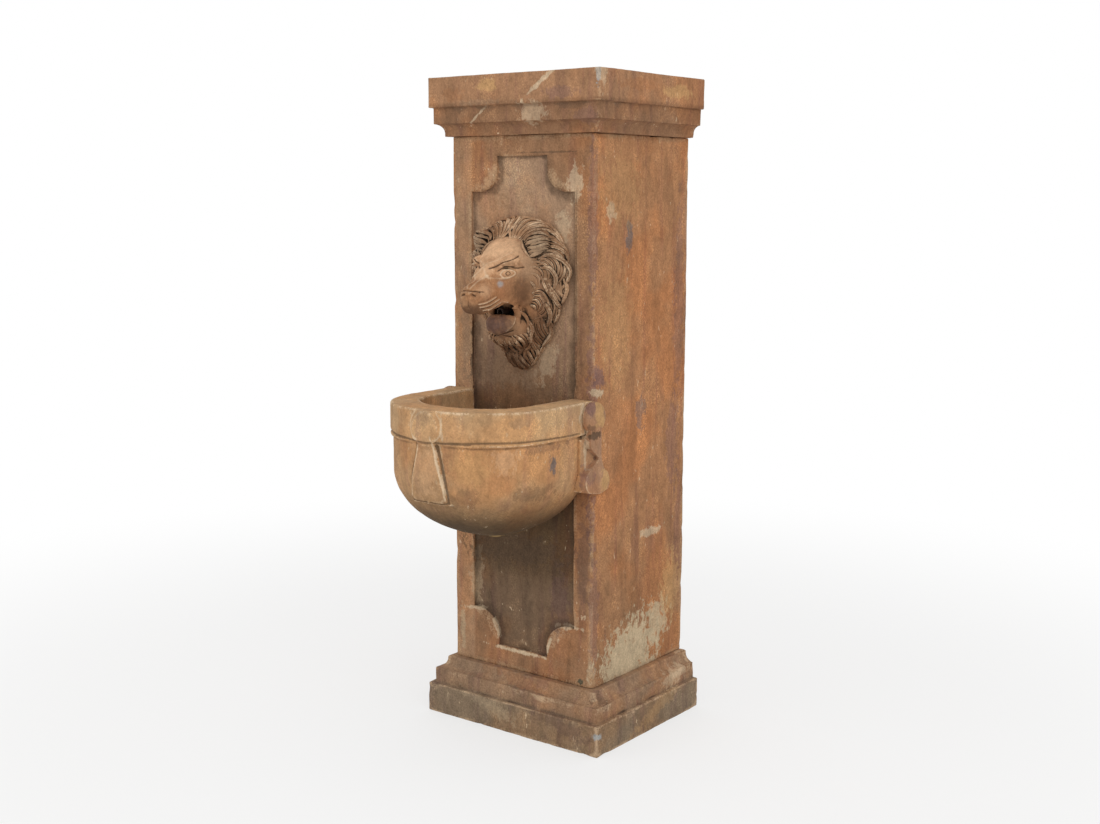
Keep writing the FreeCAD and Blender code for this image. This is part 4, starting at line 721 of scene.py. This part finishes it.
# Each group of locks: half width and lift in mm, its number of strands and its runs. Raise lifts the group
# off the skin, and fill lays a thinner lock between each two.
lionLocks = {
    "crown": {"width": 4.6, "lift": 5.0, "strands": 3, "fill": True, "runs": [
        [(510, 239), (511, 229), (517, 220), (527, 216), (540, 217)],
        [(512, 238), (516, 227), (525, 219), (538, 217), (550, 221), (558, 227)],
        [(514, 238), (520, 228), (531, 221), (544, 220), (556, 227), (564, 236)],
        [(516, 238), (524, 229), (536, 224), (549, 225), (560, 233), (568, 244)],
        [(518, 239), (528, 230), (540, 227), (553, 230), (563, 239), (571, 252)],
        [(521, 241), (531, 233), (543, 231), (555, 236), (565, 246), (572, 259)],
        [(549, 239), (557, 243), (565, 250), (571, 261)],
        [(547, 246), (556, 248), (565, 254), (571, 266)]]},
    "ear": {"width": 4.6, "lift": 5.0, "raise": 4.5, "strands": 3, "fill": True, "runs": [
        [(524, 242), (531, 237), (540, 235), (548, 237)], [(525, 246), (533, 242), (542, 239), (550, 241)],
        [(527, 249), (535, 246), (543, 243), (550, 246)], [(528, 253), (536, 250), (543, 248), (549, 250)],
        [(530, 257), (537, 254), (543, 252)]]},
    "earRim": {"width": 3.6, "lift": 4.0, "strands": 1, "runs": [
        [(522, 240), (523, 247), (527, 254), (533, 259)]]},
    "temple": {"width": 3.2, "lift": 3.2, "strands": 2, "runs": [
        [(531, 262), (538, 262), (544, 266), (546, 272)], [(530, 267), (537, 268), (542, 273), (543, 280)],
        [(531, 273), (537, 276), (539, 283), (537, 290)], [(530, 281), (534, 286), (534, 293)]]},
    "chin": {"width": 4.4, "lift": 4.5, "strands": 3, "fill": True, "runs": [
        [(489, 334), (493, 342), (498, 350), (503, 357)], [(494, 338), (498, 346), (504, 354), (510, 361)],
        [(500, 340), (505, 348), (511, 355), (516, 361)], [(506, 339), (511, 346), (517, 352), (522, 358)],
        [(512, 336), (517, 342), (522, 348), (526, 354)]]},
    "curls": {"width": 4.2, "lift": 5.0, "strands": 2, "fill": True, "runs": [
        [(537, 254), (547, 251), (557, 254), (563, 262), (564, 272), (559, 281), (552, 289)],
        [(538, 258), (547, 255), (554, 259), (558, 267), (556, 276), (550, 285)],
        [(538, 261), (545, 259), (551, 264), (553, 271), (551, 279)],
        [(538, 265), (544, 264), (548, 269), (549, 276), (546, 282)],
        [(557, 251), (566, 255), (570, 264), (571, 274)], [(569, 268), (567, 278), (562, 287), (556, 293)],
        [(571, 275), (568, 286), (564, 295), (568, 304)], [(548, 282), (553, 291), (559, 299), (565, 307)],
        [(541, 276), (545, 286), (551, 296), (557, 305), (562, 312)],
        [(557, 290), (563, 297), (567, 306)]]},
    "bigCurls": {"width": 5.4, "lift": 8.5, "strands": 3, "runs": [
        [(538, 259), (549, 255), (561, 260), (568, 271), (567, 283), (560, 293)],
        [(540, 268), (549, 268), (555, 276), (554, 286), (549, 294)],
        [(546, 286), (552, 293), (556, 302), (562, 309), (561, 318)],
        [(540, 300), (547, 306), (550, 315), (546, 325), (541, 333)],
        [(563, 278), (567, 288), (562, 299), (565, 309)],
        [(526, 318), (531, 327), (529, 337), (534, 346), (539, 352)],
        [(548, 322), (549, 332), (544, 341), (541, 351)]]},
    "whorl": {"width": 3.8, "lift": 5.0, "strands": 2, "fill": True, "runs": [
        [(532, 293), (540, 291), (546, 297), (548, 306), (544, 314), (537, 318), (531, 322)],
        [(533, 296), (540, 296), (544, 303), (542, 310), (536, 315)],
        [(532, 300), (537, 300), (540, 306), (537, 312)], [(530, 305), (535, 306), (535, 311)],
        [(546, 286), (552, 296), (554, 306), (551, 315), (543, 321)],
        [(553, 300), (558, 310), (557, 319), (550, 327)]]},
    "lower": {"width": 4.2, "lift": 5.0, "strands": 3, "fill": True, "runs": [
        [(529, 321), (528, 331), (532, 340), (538, 347), (541, 354)],
        [(533, 320), (533, 329), (537, 337), (543, 344), (545, 350)],
        [(538, 319), (539, 328), (543, 335), (548, 341)], [(543, 319), (545, 327), (548, 333), (551, 337)],
        [(549, 319), (551, 326), (552, 331)], [(557, 313), (557, 321), (553, 329)],
        [(519, 311), (525, 316), (528, 324), (526, 332)]]},
    "beard": {"width": 4.6, "lift": 6.0, "strands": 3, "fill": True, "runs": [
        [(520, 331), (527, 336), (530, 343), (526, 349), (520, 353)],
        [(514, 335), (521, 339), (524, 345), (519, 351)], [(501, 346), (505, 355), (510, 364), (516, 371)],
        [(506, 347), (511, 356), (516, 364), (521, 371)], [(512, 349), (517, 357), (523, 365), (528, 371)],
        [(519, 353), (524, 360), (529, 366), (532, 371)], [(527, 349), (530, 356), (534, 363), (535, 368)],
        [(534, 344), (537, 351), (538, 358), (537, 363)]]}}

# The carved lines of the face, as on the bowl. Ink is how dark or light the line is.
lionLines = {
    "browCrease": {"width": 2.4, "depth": 4.2, "runs": [
        [(489, 268), (496, 266), (503, 262), (510, 260), (518, 256)]]},
    "browRidge": {"width": 3.0, "depth": -2.4, "ink": 0.5, "runs": [
        [(490, 263), (497, 261), (504, 257), (512, 253)]]},
    "upperLid": {"width": 1.6, "depth": 2.8, "runs": [
        [(498, 271), (503, 268), (510, 267), (517, 268), (524, 267)]]},
    "eyeRim": {"width": 1.7, "depth": -2.2, "runs": [
        [(500, 275), (503, 271), (508, 270), (513, 271), (515, 274), (510, 277), (504, 278), (500, 275)]]},
    "iris": {"width": 1.3, "depth": 1.4, "runs": [
        [(505.5, 273.5), (508, 271.5), (510.5, 273.5), (508, 276), (505.5, 273.5)]]},
    "noseTop": {"width": 1.6, "depth": 2.4, "runs": [[(459, 291), (466, 290.5), (473, 291), (480, 292)]]},
    "nostril": {"width": 2.0, "depth": 3.4, "runs": [[(472, 295), (475, 296)]]},
    "noseWing": {"width": 1.6, "depth": 1.6, "ink": 0.45, "runs": [[(480, 292), (480, 297), (477, 301)]]},
    "whiskers": {"width": 1.3, "depth": 1.6, "ink": 0.8, "runs": [
        [(478, 303), (486, 301), (495, 296)], [(479, 306), (488, 304), (498, 298)],
        [(481, 309), (490, 307), (500, 301)], [(484, 312), (492, 310), (499, 305)]]},
    "whiskerPads": {"width": 1.5, "depth": -1.4, "runs": [
        [(479, 304.5), (487, 302.5), (496, 297)], [(480, 307.5), (489, 305.5), (499, 299.5)],
        [(483, 310.5), (491, 308.5), (500, 303)]]},
    "noseBridge": {"width": 3.2, "depth": -1.6, "ink": 0.6, "runs": [
        [(464, 286), (472, 279), (480, 271), (487, 264)], [(470, 289), (479, 281), (488, 276)]]},
    "lipRim": {"width": 2.0, "depth": -2.0, "ink": 0.5, "runs": [
        [(488, 310), (494, 306), (500, 302), (508, 302)]]},
    "lowerLip": {"width": 2.6, "depth": -3.2, "ink": 0.45, "runs": [
        [(514, 314), (515, 319), (512, 326), (506, 331)]]},
    "chinCrease": {"width": 2.4, "depth": 2.6, "runs": [[(487, 333), (495, 336), (505, 334), (513, 331)]]},
    "cheekFold": {"width": 2.2, "depth": 2.2, "ink": 0.7, "runs": [[(519, 306), (522, 314), (521, 323)]]},
    "philtrum": {"width": 1.6, "depth": 2.0, "ink": 0.5, "runs": [[(468, 302), (467.5, 308)]]}}


def addLock(bm, guide, run, group, share, mirror, look):
    # one tapering lock with rounded strands, its underside sunk in the skin
    width, lift = group["width"] * mm * share, group["lift"] * mm * share
    strands, root = group["strands"], look["rootLength"]
    hits = [throwOn(guide, across, down) for across, down in run]
    places = curveThrough([place for place, normal in hits], look["ringsPerSpan"])
    normals = curveThrough([normal for place, normal in hits], look["ringsPerSpan"])
    last = len(places) - 1
    rings = []
    for i, (place, normal) in enumerate(zip(places, normals)):
        t = i / last
        out = normal.normalized()
        along = (places[min(i + 1, last)] - places[max(i - 1, 0)]).normalized()
        side = along.cross(out).normalized()
        swell = math.cos(math.pi / 2 * (t - root) / (1 - root))
        if t < root:
            swell = math.sin(math.pi * min(t * look["rootRise"], 0.5))
        full = look["tipShare"] + (1 - look["tipShare"]) * swell ** look["swellPower"]
        if t < root:
            full = max(full, look["rootShare"])
        rise = look["bed"] + group.get("raise", 0) * mm + lift * look["arch"] * math.sin(math.pi * t)
        middle = place + out * rise
        count = 4 * strands + 3
        ring = []
        for j in range(count):
            u = 2 * j / (count - 1) - 1
            ridge = 0.5 + 0.5 * math.cos(math.pi * strands * (u + 1) + math.pi)
            crown = math.sqrt(max(0.0, 1 - u * u)) + look["strandRidge"] * ridge
            ring.append(middle + side * (width * full * u) + out * (lift * full * crown))
        u, drop = look["underside"]
        for way in (1, -1):
            ring.append(middle + side * (width * full * u * way) - out * (lift * full * drop))
        rings.append([bm.verts.new(Vector((-point.x if mirror else point.x, point.y, point.z)))
                      for point in ring])
    size = len(rings[0])
    for first, second in zip(rings, rings[1:]):
        for j in range(size):
            bm.faces.new([first[j], first[(j + 1) % size], second[(j + 1) % size], second[j]])
    bm.faces.new(rings[0])
    bm.faces.new(rings[-1])


def jawTuck(bm, look):
    # draws the lower jaw in and up, clear of the muzzle over it
    for vert in bm.verts:
        out = min(max((-vert.co.y - look["from"]) / look["over"], 0.0), 1.0)
        under = min(max((look["top"] - vert.co.z) / look["fade"], 0.0), 1.0)
        near = min(max((look["until"] + vert.co.y) / look["ending"], 0.0), 1.0)
        share = near * out * out * (3 - 2 * out) * under * under * (3 - 2 * under)
        vert.co.y += look["back"] * share
        vert.co.z += look["up"] * share
    return bm


def filledMask(fills):
    # the mask with its drilled holes filled and its lips and tongue swollen
    bm = nodeCopy("lion_mask")
    for (x, y, z), radii in fills.values():
        size = Matrix.Diagonal((*[radius * mm for radius in radii], 1))
        for side in sorted({-x, x}):
            bmesh.ops.create_uvsphere(bm, u_segments=24, v_segments=16, radius=1.0,
                                      matrix=Matrix.Translation((side * mm, y * mm, z * mm)) @ size)
    return bm


def iron(bm, skin, spots, edge):
    # draws bumps and holes on to a smoother skin, on both sides of the face
    for across, down, reach, share in spots.values():
        centre, normal = throwOn(skin, across, down)
        centre = Vector((abs(centre.x), centre.y, centre.z))
        for vert in bm.verts:
            gap = (Vector((abs(vert.co.x), vert.co.y, vert.co.z)) - centre).length / (reach * mm)
            if gap < 1:
                flat = skin.find_nearest(vert.co)[0]
                vert.co = vert.co.lerp(flat, share * min(1.0, edge * (1 - gap)))
    bm.normal_update()


def betweenRuns(first, second, look):
    # a run halfway between two others, each first divided into as many steps
    halves = []
    for run in (first, second):
        points = curveThrough([Vector((across, down, 0)) for across, down in run], look["spans"])
        pitch = (len(points) - 1) / (look["points"] - 1)
        halves.append([points[round(i * pitch)] for i in range(look["points"])])
    return [((start + end) / 2).to_tuple()[:2] for start, end in zip(*halves)]


def markShade(piece, look):
    # stores how far the skin is closed in by what stands round it, which the finish paints in as shade
    mesh = piece.data
    skin = BVHTree.FromPolygons([vert.co for vert in mesh.vertices],
                                [face.vertices for face in mesh.polygons])
    fan = []
    for i in range(look["rays"]):
        turn, level = look["turn"] * i, 1 - (2 * i + 1) / look["rays"]
        wide = math.sqrt(1 - level * level)
        fan.append(Vector((wide * math.cos(turn), wide * math.sin(turn), level)) * look["spread"])
    shut = []
    for vert in mesh.vertices:
        out = vert.normal
        start = vert.co + out * look["lift"]
        met = [skin.ray_cast(start, (out + side).normalized(), look["reach"])[0] is not None for side in fan]
        shut.append(sum(met) / len(met))
    mesh.attributes["hollow"].data.foreach_set("value", np.array(shut, np.float32))


# how the lower jaw is drawn in and up: where that starts and ends, how high it reaches and how far it goes
jawLook = {"from": 52 * mm, "over": 30 * mm, "until": 128 * mm, "ending": 12 * mm, "top": 930 * mm,
           "fade": 18 * mm, "back": 13 * mm, "up": 8 * mm}
shadeLook = {"rays": 9, "turn": 2.4, "spread": 0.92, "lift": 0.5 * mm, "reach": 16 * mm}
fillLook = {"points": 7, "spans": 6, "share": 0.72}

# bumps of the mask that the photograph shows smooth: pixel, reach in mm and share, and how steeply it fades
ironSpots = {"brow": (512, 260, 20, 1.0), "browEnd": (519, 259, 18, 1.0)}
ironEdge = 2.2

# what swells the lips and tongue and fills the deep drilled holes: centre and radii in mm, on both sides
lionFills = {"nostril": ((10, -163, 956), (7.5, 9, 7.5)), "philtrum": ((0, -163, 948), (4, 8, 8)),
             "ear": ((77, -37, 1064), (13, 12, 13)), "tongue": ((0, -74, 884), (30, 30, 20)),
             "flew": ((12, -148, 936), (17, 25, 20)), "mouthCorner": ((36, -62, 916), (9, 20, 14))}

guideSkin = jawTuck(smoothed(remeshed(filledMask(lionFills), "guide", lionLook["guideVoxel"]),
                             lionLook["guideRounds"]), jawLook)
guide = BVHTree.FromBMesh(guideSkin)
bm = jawTuck(smoothed(remeshed(filledMask(lionFills), "lionHead", lionLook["voxel"]), lionLook["rounds"]),
             jawLook)
iron(bm, guide, ironSpots, ironEdge)
carve(bm, lionLines)
for group in lionLocks.values():
    runs = group["runs"]
    thin = []
    if group.get("fill"):
        thin = [betweenRuns(first, second, fillLook) for first, second in zip(runs, runs[1:])]
    for share, some in ((fillLook["share"], thin), (1.0, runs)):
        for run in some:
            for mirror in (False, True):
                addLock(bm, guide, run, group, share, mirror, lockLook)
bmesh.ops.recalc_face_normals(bm, faces=bm.faces[:])
guideSkin.free()
piece = pieceFrom(bm, "lionHead", "lion_stone", smooth=0)
markRelief(piece, carvedRelief)
markShade(piece, shadeLook)
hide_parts("lion_mask")
print("stage: lionHead", len(piece.data.polygons), "faces")

# Floor, world and lamps
stageLook = {"floorColour": (0.90, 0.90, 0.89), "floorTint": (0.87, 0.87, 0.86), "tint": (1.5, 2, 0.4),
             "tintSpan": (0.2, 0.8), "tintShare": 0.02, "roughness": 0.9, "floorSize": 14.0,
             "worldLight": 0.72, "cameraWhite": 1.0, "nearWhite": 0.62, "fade": (0.9, 2.6)}
lamps = {"keyLamp": {"place": (2.6, -2.0, 3.0), "aim": (0.0, 0.0, 0.75), "size": 2.4, "power": 34.0},
         "fillLamp": {"place": (-2.2, -3.2, 1.9), "aim": (0.0, 0.0, 0.7), "size": 2.6, "power": 14.0}}


def seenDirect(wire):
    # 1 for what the camera sees, also in metal and through glass
    rays = [wire.add("ShaderNodeLightPath", None, None, kind)
            for kind in ("Is Camera Ray", "Is Glossy Ray", "Is Transmission Ray")]
    return (rays[0] + rays[1] + rays[2]).clamped()


def makeStage(look):
    bm = bmesh.new()
    bmesh.ops.create_grid(bm, x_segments=2, y_segments=2, size=look["floorSize"] / 2)
    floor = objectFrom(bm, "floor")
    place, shader = newFinish("floorFinish", look["roughness"])
    tint = place.clouds(*look["tint"]).between(*look["tintSpan"]) * look["tintShare"]
    finishWith(place, shader, colourOf(place, look["floorColour"]).blend(look["floorTint"], tint))
    # the camera sees the floor nearly white, and wholly white far off, with the shadow kept
    gap = place.add("ShaderNodeVectorMath", {"operation": "LENGTH"}, {0: place}, 1)
    white = place.add("ShaderNodeEmission", None, {"Color": (1, 1, 1, 1), "Strength": look["cameraWhite"]})
    share = seenDirect(place) * (gap.between(*look["fade"]) * (1 - look["nearWhite"]) + look["nearWhite"])
    lit = Wire(place.tree, shader.outputs[0])
    mixed = place.add("ShaderNodeMixShader", None, {0: share, 1: lit, 2: white})
    place.tree.links.new(mixed.socket, place.tree.nodes["Material Output"].inputs["Surface"])
    floor.data.materials.append(finishes["floorFinish"])
    world = bpy.data.worlds.new("studio")
    world.use_nodes = True
    tree = world.node_tree
    sky = tree.nodes["Background"]
    strength = seenDirect(Wire(tree, None)) * (look["cameraWhite"] - look["worldLight"]) + look["worldLight"]
    tree.links.new(strength.socket, sky.inputs["Strength"])
    sky.inputs["Color"].default_value = (1, 1, 1, 1)
    bpy.context.scene.world = world


def makeLamp(name, look):
    data = bpy.data.lights.new(name, "AREA")
    data.size = look["size"]
    data.energy = look["power"]
    lamp = bpy.data.objects.new(name, data)
    lamp.location = look["place"]
    lamp.rotation_mode = "QUATERNION"
    lamp.rotation_quaternion = (Vector(look["aim"]) - Vector(look["place"])).to_track_quat("-Z", "Y")
    bpy.context.scene.collection.objects.link(lamp)


makeStage(stageLook)
for name, look in lamps.items():
    makeLamp(name, look)
bpy.context.scene.view_settings.view_transform = "Standard"
print("stage: floor, world and lamps")
